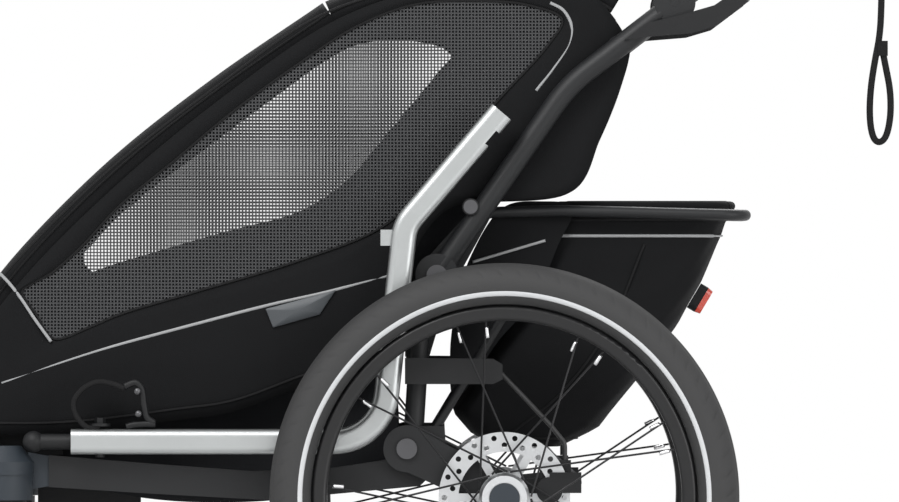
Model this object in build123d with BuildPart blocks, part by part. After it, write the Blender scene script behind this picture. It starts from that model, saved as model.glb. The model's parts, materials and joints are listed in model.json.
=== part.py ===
"""Child bicycle trailer with two large wheels, front caster wheels, a folding frame, a tilting cargo
bag, a push bar and a stowed towing arm. Millimetres, +Z up, ground at Z = 0, front towards -X.

Side profiles are drawn in side(y): local x runs rearwards from the axle and local y is the height.
"""

import math
import os

from build123d import *

os.makedirs("parts", exist_ok=True)

# ---- driving dimensions ------------------------------------------------------------------------
FRONT_REACH = 634.0  # bumper, in front of the axle
REAR_REACH = 420.0  # grip, behind the axle
AXLE_X = (FRONT_REACH - REAR_REACH) / 2  # the axle, behind the middle of the whole trailer
SIDES = {"left": -1, "right": 1}

# large wheels
TYRE_R = 250.0
TYRE_SECTION_R = 23.5
RIM_SEAT_R = 206.0
RIM_INNER_R = 188.5
RIM_WIDTH = 28.0
WHEEL_Y = 300.0  # middle plane of a large wheel
SPOKE_PAIRS = 9
SPOKE_R = 1.1
SPOKE_PAIR_ANGLE = 9.5
SPOKE_START_ANGLE = 20.75
HUB_R = 17.0
FLANGE_R = 27.0
FLANGE_THICK = 3.5
FLANGE_SPACING = 38.0
HUB_OUTER_Y = 330.0
HUB_CAP_R = 16.0
HUB_CAP_SEAT = 5.0
HUB_CAP_THICK = 4.0
HUB_CAP_TRAVEL = 3.0
AXLE_PIN_R = 7.0
ROTOR_R = 70.0
ROTOR_BAND = 21.0
ROTOR_THICK = 2.0
ROTOR_Y = 267.0
ROTOR_HOLE_R = 2.9
AXLE_Z = TYRE_R

# pivots, as (x behind the axle, height)
FOLD_PIVOT = (-72.0, 487.0)
SUSPENSION_PIVOT = (-104.0, 302.0)
BAG_PIVOT = (-24.0, 554.0)
BAR_PIVOT = (182.0, 778.0)
FRAME_SCREW = (-36.0, 560.0)
PIVOT_PIN_R = 5.0
PIN_CLEARANCE = 0.05
GAP = 0.5  # between pieces that pass or nearly touch

# frame, with lateral places measured from the middle
RAIL_INNER_Y = 214.0
RAIL_WIDTH = 24.0
POST_Y = 228.0
POST_R = 10.5
STAY_R = 5.0
HOUSING_R = 23.0
HOUSING_WIDTH = 22.0
UPRIGHT_R = 11.5
PLATE_Y = 202.0  # inner face of the hinge plates
PLATE_THICK = 8.0
SUSPENSION_Y = 240.0
SUSPENSION_WIDTH = 16.0
GUARD_Y = 271.0
GUARD_THICK = 3.0
ROOF_TUBE_Y = 192.0
ROOF_TUBE_R = 10.5
ROOF_TUBE_DEPTH = 26.0  # tube centre below the roof line
COVER_THICK = 3.0
SKIRT_DEPTH = 34.0
COVER_SLIT = 1.0
COVER_HALF_WIDTH = 207.0
PANEL_Y = 214.0
PANEL_THICK = 2.5
SEAT_HALF_WIDTH = 166.0
LINER_Y = 173.0
LINER_THICK = 5.0
FLOOR_TOP = 276.0
FLOOR_THICK = 6.0
CROSSBAR = (-536.0, 281.0)
CROSSBAR_SIZE = (28.0, 26.0)
REAR_BAR = (-104.0, 288.0)
REAR_BAR_R = 15.0
SOCKET_BORE_R = 9.0
SOCKET_LENGTH = 36.0
SOCKET_Y = 150.0
BUMPER_R = 9.0
TOP_BAR = (120.0, 733.5)
TOP_BAR_R = 9.0

# bag
BAG_HALF_WIDTH = 178.0
BAG_WALL = 4.0
BAG_ARM_Y = 190.0
BAG_ARM_R = 6.0
BAG_REACH = 258.0
BAG_PIN_R = 4.0

# push bar
BAR_R = 11.0
BAR_HALF_WIDTH = 202.0
BAR_LUG_R = 20.0
GRIP_R = 16.0
GRIP_HALF_LENGTH = 120.0
BAR_END = (REAR_REACH - GRIP_R, 967.0)

# casters
CASTER_R = 85.0
CASTER_WIDTH = 36.0
CASTER_Y = 238.0
CASTER_PIVOT_X = CROSSBAR[0]
CASTER_TRAIL = 45.0
CASTER_HOUSING_R = 34.0
CASTER_HOUSING_LOW = 247.0
CASTER_PIN_R = 6.0

# towing arm
ARM_SIZE = 27.0
ARM_CORNER = 8.0
ARM_Y = -256.0
ARM_Z = 309.5
ARM_FRONT = -462.0

# outer face of the roof and front cover, from the nose to the top rear
ROOF_LINE = [
    (-603, 386), (-558, 465), (-520, 514), (-423, 611), (-313, 698), (-195, 779),
    (-100, 812), (-30, 826), (40, 830), (100, 815), (150, 786),
]
COVER_SPLIT = 5  # point of the roof line where the opening front cover ends


def side(y):
    """Side plane at lateral place y: local x behind the axle, local y height, normal towards -Y."""
    return Plane(origin=(AXLE_X, y, 0), x_dir=(1, 0, 0), z_dir=(0, -1, 0))


def across(y, x=0.0, z=AXLE_Z):
    """Plane for a revolved section about the lateral line at (x, z): local x lateral, local y up."""
    return Plane(origin=(AXLE_X + x, y, z), x_dir=(0, 1, 0), z_dir=(1, 0, 0))


def lateral_axis(x=0.0, z=AXLE_Z):
    """The line along Y through (x, z)."""
    return Axis((AXLE_X + x, 0, z), (0, 1, 0))


def at(x, y, z):
    """A point given as place behind the axle, lateral place and height."""
    return (AXLE_X + x, y, z)


def outline(points, mode=Mode.ADD):
    """A closed straight-sided outline in the sketch in progress."""
    Polygon(*points, align=None, mode=mode)


def save(piece, label):
    """Labels a finished part and writes its file."""
    piece.part.label = label
    export_step(piece.part, f"parts/{label}.step")


def roof_offset(depth, start=0, end=None):
    """The roof line's points moved inwards by depth, square to the line."""
    pts = ROOF_LINE[start:end]
    moved = []
    for i, (x, z) in enumerate(pts):
        before = pts[max(i - 1, 0)]
        after = pts[min(i + 1, len(pts) - 1)]
        run = Vector(after[0] - before[0], after[1] - before[1]).normalized()
        moved.append((x + run.Y * depth, z - run.X * depth))
    return moved


# ---- large wheels ------------------------------------------------------------------------------
def make_wheel(name, s):
    """Tyre, rim, spokes, hub, rotor and hub cap of one large wheel."""
    y0 = s * WHEEL_Y
    axis = lateral_axis()
    with BuildPart() as tyre:
        with BuildSketch(across(y0)):
            with Locations((0, TYRE_R - TYRE_SECTION_R)):
                Circle(TYRE_SECTION_R)
            with Locations((0, RIM_SEAT_R)):
                Rectangle(4 * TYRE_SECTION_R, 6, align=(Align.CENTER, Align.MAX), mode=Mode.SUBTRACT)
        revolve(axis=axis)
    save(tyre, f"tyre_{name}")

    with BuildPart() as rim:
        with BuildSketch(across(y0)):
            with Locations((0, (RIM_SEAT_R + RIM_INNER_R) / 2 - 0.2)):
                RectangleRounded(RIM_WIDTH - 8, RIM_SEAT_R - RIM_INNER_R - 0.5, 5)
        revolve(axis=axis)
    save(rim, f"rim_{name}")

    with BuildPart() as hub:
        inner = s * (ROTOR_Y + ROTOR_THICK / 2 - WHEEL_Y)
        outer = s * (HUB_OUTER_Y - WHEEL_Y)
        with BuildSketch(across(y0)):
            with BuildLine():
                low = s * 1.0
                Polyline(
                    (inner, AXLE_PIN_R + PIN_CLEARANCE),
                    (inner, HUB_R),
                    (-low * FLANGE_SPACING / 2 - low * FLANGE_THICK, HUB_R),
                    (-low * FLANGE_SPACING / 2 - low * FLANGE_THICK, FLANGE_R),
                    (-low * FLANGE_SPACING / 2, FLANGE_R),
                    (-low * FLANGE_SPACING / 2, HUB_R - 2),
                    (low * FLANGE_SPACING / 2, HUB_R - 2),
                    (low * FLANGE_SPACING / 2, FLANGE_R),
                    (low * FLANGE_SPACING / 2 + low * FLANGE_THICK, FLANGE_R),
                    (outer, FLANGE_R - 3),
                    (outer, HUB_CAP_R + GAP),
                    (outer - low * HUB_CAP_SEAT, HUB_CAP_R + GAP),
                    (outer - low * HUB_CAP_SEAT, AXLE_PIN_R + PIN_CLEARANCE),
                    close=True,
                )
            make_face()
        revolve(axis=axis)
        with BuildSketch(side(s * ROTOR_Y)):
            with Locations((0, AXLE_Z)):
                Circle(ROTOR_R)
                Circle(ROTOR_R - ROTOR_BAND, mode=Mode.SUBTRACT)
                with PolarLocations(ROTOR_R - 6, 18):
                    Circle(ROTOR_HOLE_R, mode=Mode.SUBTRACT)
                with PolarLocations(ROTOR_R - 14, 18, start_angle=10):
                    Circle(ROTOR_HOLE_R, mode=Mode.SUBTRACT)
                with PolarLocations(34.0, 6):
                    Rectangle(44, 9)
                Circle(24.0)
                Circle(AXLE_PIN_R + 3, mode=Mode.SUBTRACT)
        extrude(amount=ROTOR_THICK / 2, both=True)
    save(hub, f"hub_{name}")

    with BuildPart() as cap:
        with BuildSketch(side(s * (HUB_OUTER_Y - HUB_CAP_SEAT + GAP + HUB_CAP_TRAVEL))):
            with Locations((0, AXLE_Z)):
                Circle(HUB_CAP_R)
        extrude(amount=-s * HUB_CAP_THICK)
    save(cap, f"hub_cap_{name}")

    with BuildPart() as spokes:
        for i in range(SPOKE_PAIRS):
            for k, flange in ((0, 1), (1, -1)):
                a = math.radians(360 / SPOKE_PAIRS * i + SPOKE_START_ANGLE + (k - 0.5) * SPOKE_PAIR_ANGLE)
                lead = math.radians(62 if k == 0 else -62)
                hub_y = y0 + flange * (FLANGE_SPACING / 2 + FLANGE_THICK / 2)
                hub_r = FLANGE_R + 1.3
                foot = Vector(*at(hub_r * math.cos(a + lead), hub_y, AXLE_Z + hub_r * math.sin(a + lead)))
                rim_r = RIM_INNER_R - 0.3
                tip = Vector(*at(rim_r * math.cos(a), y0, AXLE_Z + rim_r * math.sin(a)))
                run = tip - foot
                with BuildSketch(Plane(origin=foot, z_dir=run.normalized())):
                    Circle(SPOKE_R)
                extrude(amount=run.length)
    save(spokes, f"spokes_{name}")



# ---- suspension arms with brakes ----------------------------------------------------------------
CALIPER_AT = (48.0, 258.0)
CALIPER_INNER_Y = SUSPENSION_Y + 14.0
PAD_GAP = 1.5  # between a caliper half and the rotor
LEVER_PIVOT = (76.0, 266.0)
LEVER_Y = 246.0
CABLE_R = 2.5
CABLE_Y = 255.0


def make_suspension(name, s):
    """Trailing arm with its axle pin, the brake caliper, the caliper's lever and the brake cable."""
    px, pz = SUSPENSION_PIVOT
    cx, cz = CALIPER_AT
    arm_outer = SUSPENSION_Y + SUSPENSION_WIDTH
    rotor_in = ROTOR_Y - ROTOR_THICK / 2
    rotor_out = ROTOR_Y + ROTOR_THICK / 2
    with BuildPart() as arm:
        with BuildSketch(side(s * SUSPENSION_Y)):
            with Locations((px, pz)):
                Circle(25)
            with Locations((0, AXLE_Z)):
                Circle(20)
            outline([(px - 6, pz - 22), (px + 14, pz + 20), (12, AXLE_Z + 16), (-6, AXLE_Z - 18)])
            with Locations((px, pz)):
                Circle(PIVOT_PIN_R + PIN_CLEARANCE, mode=Mode.SUBTRACT)
        extrude(amount=-s * SUSPENSION_WIDTH)
        with BuildSketch(side(s * (arm_outer - 1))):
            with Locations((0, AXLE_Z)):
                Circle(14)
        extrude(amount=-s * (rotor_in - PAD_GAP - arm_outer + 1))
        with BuildSketch(side(s * (arm_outer - 1))):
            with Locations((0, AXLE_Z)):
                Circle(AXLE_PIN_R)
        extrude(amount=-s * (HUB_OUTER_Y - HUB_CAP_SEAT - GAP - arm_outer + 1))
        with BuildSketch(side(s * (CALIPER_INNER_Y - 8))):
            outline([(6, 268), (cx - 4, 272), (cx, 246), (6, 232)])
        extrude(amount=-s * 8)
    save(arm, f"suspension_arm_{name}")

    bridge_x = ROTOR_R + 7
    outer_half = rotor_out + PAD_GAP
    outer_thick = 6.5
    with BuildPart() as caliper:
        with BuildSketch(side(s * CALIPER_INNER_Y)):
            with Locations(CALIPER_AT):
                Circle(16)
            outline([(cx - 8, cz - 3), (bridge_x + 5, cz - 3), (bridge_x + 5, cz + 19), (cx - 8, cz + 19)])
        extrude(amount=-s * (rotor_in - PAD_GAP - CALIPER_INNER_Y))
        with BuildSketch(side(s * outer_half)):
            with Locations(CALIPER_AT):
                Circle(14)
            outline([(cx, cz - 3), (bridge_x + 5, cz - 3), (bridge_x + 5, cz + 19), (cx, cz + 19)])
        extrude(amount=-s * outer_thick)
        with BuildSketch(side(s * CALIPER_INNER_Y)):
            with Locations((bridge_x, cz + 8)):
                Rectangle(10, 22)
        extrude(amount=-s * (outer_half + outer_thick - CALIPER_INNER_Y))
        with BuildSketch(side(s * (CALIPER_INNER_Y - 3))):
            outline([(58, cz + 15), (71, cz + 15), (71, 290), (58, 290)])
        extrude(amount=-s * 9)
        with BuildSketch(side(s * (LEVER_Y - 2))):
            with Locations(LEVER_PIVOT):
                Circle(3)
        extrude(amount=-s * (CALIPER_INNER_Y - LEVER_Y + 2))
    save(caliper, f"caliper_{name}")

    lx, lz = LEVER_PIVOT
    with BuildPart() as lever:
        with BuildSketch(side(s * LEVER_Y)):
            outline([(lx - 38, lz + 29), (lx - 31, lz + 36), (lx + 5, lz + 4), (lx - 4, lz - 5)])
            with Locations(LEVER_PIVOT):
                Circle(6.5)
                Circle(3 + PIN_CLEARANCE, mode=Mode.SUBTRACT)
        extrude(amount=-s * 4)
    save(lever, f"caliper_lever_{name}")

    route = [(-3, 382), (20, 358), (50, 326), (64.5, 308), (64.5, 290.3)]
    with BuildPart() as cable:
        with BuildLine():
            FilletPolyline(*[at(x, s * CABLE_Y, z) for x, z in route], radius=(30, 90, 14))
        with BuildSketch(Plane(origin=at(route[0][0], s * CABLE_Y, route[0][1]), z_dir=(23, 0, -24))):
            Circle(CABLE_R)
        sweep()
    save(cable, f"brake_cable_{name}")


# ---- chassis --------------------------------------------------------------------------------------
def strut(start, end, y, radius):
    """A round bar at lateral place y between two (x, height) points."""
    low = Vector(*at(start[0], y, start[1]))
    run = Vector(*at(end[0], y, end[1])) - low
    with BuildSketch(Plane(origin=low, z_dir=run.normalized())) as section:
        Circle(radius)
    extrude(section.sketch, amount=run.length)


def block(points, y_from, y_to):
    """An outline at both sides of the trailer, between two lateral places."""
    with BuildSketch(side(y_to)) as shape:
        outline(points)
    extrude(shape.sketch, amount=y_to - y_from)


def disc(centre, radius, y_from, y_to):
    """A round piece about a lateral axis between two lateral places."""
    with BuildSketch(side(y_to)) as shape:
        with Locations(centre):
            Circle(radius)
    extrude(shape.sketch, amount=y_to - y_from)


def make_chassis():
    """Side frames, cross bars, floor, hinge plates, guards and caster housings."""
    px, pz = SUSPENSION_PIVOT
    fx, fz = FOLD_PIVOT
    bx, bz = BAG_PIVOT
    rail_outer = RAIL_INNER_Y + RAIL_WIDTH
    plate_outer = PLATE_Y + PLATE_THICK
    with BuildPart() as frames:
        rail = [
            (-486, 295), (-377, 286), (-269, 278), (-186, 281), (-127, 290), (px, pz + 24),
            (-64, 326), (-62, 290), (-90, 262), (-251, 247), (-377, 254), (-486, 261),
        ]
        block(rail, RAIL_INNER_Y, rail_outer)
        disc(SUSPENSION_PIVOT, PIVOT_PIN_R, rail_outer - 2, SUSPENSION_Y + SUSPENSION_WIDTH + 2)
        strut((px + 7, pz + 15), (fx - 16, fz - HOUSING_R - 4), POST_Y, POST_R)
        strut((-78, 316), (0, 445), POST_Y - 2, STAY_R)
        block([(-106, 400), (-80, 400), (-80, 440), (-106, 440)], plate_outer, POST_Y - POST_R + 3)
        mirror(about=Plane.XZ)
    save(frames, "side_frames")

    with BuildPart() as plates:
        block([(-106, 400), (-80, 400), (fx + 14, fz - 14), (fx - 20, fz - 4)], PLATE_Y, plate_outer)
        block([(fx - 16, fz + 12), (bx - 9, bz + 6), (bx + 9, bz - 6), (fx + 18, fz - 10)], PLATE_Y, plate_outer)
        disc(FOLD_PIVOT, HOUSING_R, PLATE_Y, plate_outer)
        disc(BAG_PIVOT, 11, PLATE_Y, plate_outer)
        disc(FOLD_PIVOT, PIVOT_PIN_R, PLATE_Y, POST_Y + HOUSING_WIDTH / 2 + 2)
        disc(BAG_PIVOT, BAG_PIN_R, BAG_ARM_Y - BAG_ARM_R - 1, PLATE_Y + 1)
        mirror(about=Plane.XZ)
    save(plates, "hinge_plates")

    bar_half = CASTER_Y - CASTER_HOUSING_R - 0.3
    with BuildPart() as bars:
        with BuildSketch(side(bar_half)):
            with Locations(CROSSBAR):
                RectangleRounded(*CROSSBAR_SIZE, 6)
        extrude(amount=2 * bar_half)
        half = RAIL_INNER_Y - GAP
        with BuildSketch(side(half)):
            with Locations(REAR_BAR):
                Circle(REAR_BAR_R)
                Circle(REAR_BAR_R - 2.5, mode=Mode.SUBTRACT)
        extrude(amount=2 * half)
    save(bars, "crossbars")

    bar_low = CROSSBAR[1] - CROSSBAR_SIZE[1] / 2
    bar_front = CROSSBAR[0] - CROSSBAR_SIZE[0] / 2
    wall = 4.0
    with BuildPart() as sockets:
        start = at(bar_front - 4, 0, bar_low - SOCKET_BORE_R - wall)
        with BuildSketch(Plane(origin=start, x_dir=(0, 1, 0), z_dir=(1, 0, 0))):
            with Locations((-SOCKET_Y, 0), (SOCKET_Y, 0)):
                Circle(SOCKET_BORE_R + wall)
                Circle(SOCKET_BORE_R, mode=Mode.SUBTRACT)
        extrude(amount=SOCKET_LENGTH)
    save(sockets, "front_sockets")

    with BuildPart() as bumper:
        reach = -FRONT_REACH + BUMPER_R
        with BuildLine():
            FilletPolyline(
                at(bar_front - 0.3, 180, CROSSBAR[1]),
                at(reach, 180, CROSSBAR[1]),
                at(reach, -180, CROSSBAR[1]),
                at(bar_front - 0.3, -180, CROSSBAR[1]),
                radius=40,
            )
        with BuildSketch(Plane(origin=at(bar_front - 0.3, 180, CROSSBAR[1]), z_dir=(-1, 0, 0))):
            Circle(BUMPER_R)
        sweep()
    save(bumper, "bumper")

    floor_front = CROSSBAR[0] + CASTER_HOUSING_R - 9
    with BuildPart() as floor:
        half = RAIL_INNER_Y - GAP
        with BuildSketch(side(half)):
            outline([(floor_front, FLOOR_TOP), (-125, FLOOR_TOP), (-125, FLOOR_TOP - FLOOR_THICK), (floor_front, FLOOR_TOP - FLOOR_THICK)])
        extrude(amount=2 * half)
    save(floor, "floor_panel")

    with BuildPart() as guards:
        block([(-106, 371), (-106, 399), (-12, 398), (-2, 392), (-2, 376), (-12, 371)], GUARD_Y, GUARD_Y + GUARD_THICK)
        block([(-76, 376), (-56, 376), (-56, 392), (-76, 392)], POST_Y + POST_R + GAP, GUARD_Y)
        block([(-104, 376), (-56, 376), (-56, 392), (-104, 392)], POST_Y + POST_R + GAP, POST_Y + POST_R + 3)
        mirror(about=Plane.XZ)
    save(guards, "side_guards")

    pivot = (AXLE_X + CASTER_PIVOT_X, CASTER_Y)
    with BuildPart() as housings:
        with BuildSketch(Plane.XY.offset(CASTER_HOUSING_LOW)):
            with Locations(pivot):
                Circle(CASTER_HOUSING_R - 1)
        extrude(amount=32)
        with BuildSketch(Plane.XY.offset(CASTER_HOUSING_LOW + 27)):
            with Locations(pivot):
                Circle(CASTER_HOUSING_R)
        extrude(amount=14)
        with BuildSketch(Plane.XY.offset(CASTER_HOUSING_LOW + 41)):
            with Locations(pivot):
                Circle(CASTER_HOUSING_R)
        extrude(amount=17, taper=38)
        with BuildSketch(Plane.XY.offset(CASTER_HOUSING_LOW - 1)):
            with Locations(pivot):
                Circle(CASTER_PIN_R + PIN_CLEARANCE)
        extrude(amount=31, mode=Mode.SUBTRACT)
        block([(-508, 258), (-486, 262), (-486, 294), (-508, 298)], RAIL_INNER_Y + 2, rail_outer - 2)
        mirror(about=Plane.XZ)
    save(housings, "caster_housings")


def make_hitch_receiver():
    """Square sleeve under the floor that takes the towing arm for the road, and the shelf that stows it."""
    size = ARM_SIZE + 1.0
    wall = 4.0
    top = FLOOR_TOP - FLOOR_THICK - GAP
    with BuildPart() as receiver:
        with BuildSketch(Plane(origin=at(-500, 0, 0), x_dir=(0, 1, 0), z_dir=(1, 0, 0))):
            with Locations((-95, top - wall - size / 2)):
                RectangleRounded(size + 2 * wall, size + 2 * wall, 6)
                RectangleRounded(size, size, 4, mode=Mode.SUBTRACT)
        extrude(amount=110)
        shelf = ARM_Z - ARM_SIZE / 2 - 0.3
        with BuildSketch(side(-(RAIL_INNER_Y + RAIL_WIDTH))):
            outline([(-238, 262), (-208, 262), (-208, shelf), (-238, shelf)])
        extrude(amount=3)
        with BuildSketch(side(-(RAIL_INNER_Y + RAIL_WIDTH))):
            outline([(-238, shelf - 4), (-208, shelf - 4), (-208, shelf), (-238, shelf)])
        extrude(amount=-ARM_Y + ARM_SIZE / 2 - (RAIL_INNER_Y + RAIL_WIDTH))
    save(receiver, "arm_holders")


# ---- folding frame ----------------------------------------------------------------------------------
def make_rear_frame():
    """The two uprights that carry the push bar, their cross tube and the shrouds over the lugs."""
    foot = (FOLD_PIVOT[0] + 6, FOLD_PIVOT[1] + 9)
    knee = (68.0, 689.0)
    tip = (BAR_PIVOT[0] - 14, BAR_PIVOT[1] - 12)
    inner = POST_Y - HOUSING_WIDTH / 2
    outer = POST_Y + HOUSING_WIDTH / 2
    with BuildPart() as uprights:
        with BuildLine():
            FilletPolyline(at(foot[0], POST_Y, foot[1]), at(knee[0], POST_Y, knee[1]), at(tip[0], POST_Y, tip[1]), radius=160)
        with BuildSketch(Plane(origin=at(foot[0], POST_Y, foot[1]), z_dir=(knee[0] - foot[0], 0, knee[1] - foot[1]))):
            Circle(UPRIGHT_R)
        sweep()
        disc(FOLD_PIVOT, HOUSING_R, inner, outer)
        disc(BAR_PIVOT, BAR_LUG_R + 2, inner, outer)
        disc(FRAME_SCREW, 9, POST_Y - 4, POST_Y + UPRIGHT_R)
        for centre in (FOLD_PIVOT, BAR_PIVOT):
            with BuildSketch(side(outer + 1)):
                with Locations(centre):
                    Circle(PIVOT_PIN_R + PIN_CLEARANCE)
            extrude(amount=HOUSING_WIDTH + 2, mode=Mode.SUBTRACT)
        mirror(about=Plane.XZ)
    save(uprights, "uprights")

    half = POST_Y - UPRIGHT_R - 0.3
    with BuildPart() as tube:
        with BuildSketch(side(half)):
            with Locations(TOP_BAR):
                Circle(TOP_BAR_R)
        extrude(amount=2 * half)
    save(tube, "top_crossbar")

    with BuildPart() as screws:
        disc(FRAME_SCREW, 7.5, POST_Y + UPRIGHT_R + 0.2, POST_Y + UPRIGHT_R + 4)
        disc(FOLD_PIVOT, 11, outer + 2.2, outer + 5)
        disc(SUSPENSION_PIVOT, 11, SUSPENSION_Y + SUSPENSION_WIDTH + 2.2, SUSPENSION_Y + SUSPENSION_WIDTH + 5)
        mirror(about=Plane.XZ)
    save(screws, "frame_screws")

    with BuildPart() as shrouds:
        shape = [
            (128, 738), (150, 741), (199, 745), (226, 753), (262, 780), (240, 786),
            (224, 775), (186, 764), (152, 756),
        ]
        block(shape, POST_Y + UPRIGHT_R + 0.3, outer + 7)
        mirror(about=Plane.XZ)
    save(shrouds, "bar_shrouds")


def roof_sheet(points, inner, hem, name):
    """A curved sheet across the cabin between two lines of points, with a skirt down to a hem."""
    tube_side = ROOF_TUBE_Y + ROOF_TUBE_R + GAP
    with BuildPart() as sheet:
        with BuildSketch(side(COVER_HALF_WIDTH)):
            with BuildLine():
                Spline(*points)
                Line(points[-1], inner[-1])
                Spline(*reversed(inner))
                Line(inner[0], points[0])
            make_face()
        extrude(amount=2 * COVER_HALF_WIDTH)
        with BuildSketch(side(COVER_HALF_WIDTH)):
            with BuildLine():
                Spline(*points)
                Line(points[-1], hem[-1])
                Spline(*reversed(hem))
                Line(hem[0], points[0])
            make_face()
        extrude(amount=COVER_HALF_WIDTH - tube_side)
        mirror(about=Plane.XZ)
    save(sheet, name)


def make_roof():
    """Roof side tubes with their bows, the fixed canopy and the opening front cover."""
    top = roof_offset(ROOF_TUBE_DEPTH)
    base = CROSSBAR[1] + CROSSBAR_SIZE[1] / 2 + 0.3
    path = [(-538, base), (-572, 340), (-560, 405)] + top[2:8] + [(50, 800), (88, 778), (TOP_BAR[0] - 9, TOP_BAR[1] + 20)]
    with BuildPart() as tubes:
        with BuildLine() as route:
            Spline(*[at(x, ROOF_TUBE_Y, z) for x, z in path])
        with BuildSketch(Plane(origin=route.line @ 0, z_dir=route.line % 0)):
            Circle(ROOF_TUBE_R)
        sweep()
        with BuildSketch(Plane.XY.offset(base)):
            with Locations((AXLE_X + path[0][0], ROOF_TUBE_Y)):
                Rectangle(80, 60)
        extrude(amount=-30, mode=Mode.SUBTRACT)
        mirror(about=Plane.XZ)
        length = ROOF_TUBE_Y - ROOF_TUBE_R + 2
        for x, z in (top[2], top[4], top[7]):
            with BuildSketch(side(length)):
                with Locations((x, z)):
                    Circle(7)
            extrude(amount=2 * length)
    save(tubes, "roof_frame")

    inner, hem = roof_offset(COVER_THICK), roof_offset(SKIRT_DEPTH)
    split = COVER_SPLIT
    roof_sheet(ROOF_LINE[: split + 1], inner[: split + 1], hem[: split + 1], "front_cover")
    (ax, az), (bx, bz) = ROOF_LINE[split], ROOF_LINE[split + 1]
    run = Vector(bx - ax, bz - az).normalized() * COVER_SLIT
    rear = [[(line[split][0] + run.X, line[split][1] + run.Y)] + line[split + 1 :] for line in (ROOF_LINE, inner, hem)]
    roof_sheet(*rear, "roof_canopy")


# ---- soft parts inside and around the cabin ------------------------------------------------------
WINDOW = [
    (-515, 471), (-481, 419), (-411, 445), (-334, 468), (-218, 503), (-128, 540), (-79, 588),
    (-10, 670), (47, 733), (62, 760), (27, 775), (-26, 780), (-96, 776), (-157, 753),
    (-218, 714), (-292, 660), (-354, 608), (-411, 561), (-454, 515),
]
PANEL = [
    (-600, 318), (-470, 318), (-350, 332), (-290, 341), (-218, 367), (-164, 384), (-118, 432),
    (-106, 487), (-62, 556), (75, 578), (102, 631), (117, 666), (126, 692), (133, 717), (134, 731), (114, 766),
    (88, 792), (40, 804), (-30, 802), (-98, 790), (-185, 757), (-301, 677), (-407, 590), (-503, 496), (-556, 430),
    (-590, 372),
]
LINER = [
    (-470, FLOOR_TOP + 0.3), (-470, 470), (-445, 488), (-366, 514), (-292, 535), (-217, 556), (-166, 590),
    (-136, 625), (-95, 674), (-55, 721), (-30, 738), (44, 738), (-48, 530), (-112, 405), (-128, FLOOR_TOP + 0.3),
]


def make_cabin():
    """Side panels with window openings, windows, footwell, cushions, liner, harness and back panel."""
    with BuildPart() as panels:
        with BuildSketch(side(PANEL_Y)):
            outline(PANEL)
            outline(WINDOW, Mode.SUBTRACT)
            with Locations(TOP_BAR):
                Circle(TOP_BAR_R + GAP, mode=Mode.SUBTRACT)
        extrude(amount=PANEL_THICK)
        mirror(about=Plane.XZ)
    save(panels, "side_panels")

    with BuildPart() as windows:
        with BuildSketch(side(PANEL_Y - 0.7)):
            outline(WINDOW)
            offset(amount=-0.4)
        extrude(amount=1.0)
        mirror(about=Plane.XZ)
    save(windows, "side_windows")

    half = LINER_Y + LINER_THICK
    base = CROSSBAR[1] + CROSSBAR_SIZE[1] / 2 + GAP
    with BuildPart() as footwell:
        with BuildSketch(side(half)):
            outline([(-603, 380), (-614, 326), (-600, base), (-472, base), (-472, base + 5), (-597, base + 5), (-608, 327), (-597, 379)])
        extrude(amount=2 * half)
        block([(-603, 372), (-612, 326), (-599, base + 2), (-472, base + 2), (-472, 330)], half - 4, half)
        mirror(about=Plane.XZ)
    save(footwell, "footwell")

    with BuildPart() as cushion:
        with BuildSketch(side(SEAT_HALF_WIDTH)):
            outline([(-330, FLOOR_TOP + 0.3), (-132, FLOOR_TOP + 0.3), (-124, 330), (-146, 388), (-320, 396), (-345, 380)])
        extrude(amount=2 * SEAT_HALF_WIDTH)
    save(cushion, "seat_cushion")

    with BuildPart() as back:
        with BuildSketch(side(SEAT_HALF_WIDTH - 4)):
            outline([(-174, 402), (-135, 396), (-112, 425), (-56, 530), (34, 732), (4, 738), (-20, 732), (-110, 542)])
        extrude(amount=2 * (SEAT_HALF_WIDTH - 4))
    save(back, "seat_back")

    with BuildPart() as liner:
        block(LINER, LINER_Y, LINER_Y + LINER_THICK)
        mirror(about=Plane.XZ)
    save(liner, "seat_liner")

    with BuildPart() as sling:
        with BuildSketch(side(LINER_Y)):
            outline([(-111.5, 425), (-55.5, 529.8), (34.6, 732.2), (37.6, 731), (-52.5, 528.5), (-108.5, 423.5)])
        extrude(amount=2 * LINER_Y)
    save(sling, "back_panel")

    with BuildPart() as straps:
        for y in (-62, 62):
            with BuildSketch(side(y + 16)):
                outline([(-111, 541), (-24, 725), (-27, 726.5), (-114, 542.5)])
            extrude(amount=32)
            with BuildSketch(side(y + 22)):
                outline([(-96, 574), (-62, 646), (-74, 652), (-108, 580)])
            extrude(amount=44)
    save(straps, "harness")

    with BuildPart() as buckle:
        with BuildSketch(side(20)):
            outline([(-262, 394.2), (-246, 393.4), (-240, 440), (-246, 441)])
        extrude(amount=40)
        with BuildSketch(side(28)):
            with Locations((-243, 459)):
                RectangleRounded(14, 40, 5)
        extrude(amount=56)
    save(buckle, "crotch_buckle")


# ---- cargo bag -----------------------------------------------------------------------------------
BAG = [
    (44, 548), (62, 566), (144, 573), (208, 565), (244, 561), (249, 555), (236, 543), (234, 529),
    (213, 479), (187, 434), (144, 375), (128, 352), (102, 323), (68, 307), (35, 301), (-5, 304),
    (-34, 315), (-58, 340), (-20, 400), (10, 450),
]


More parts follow.
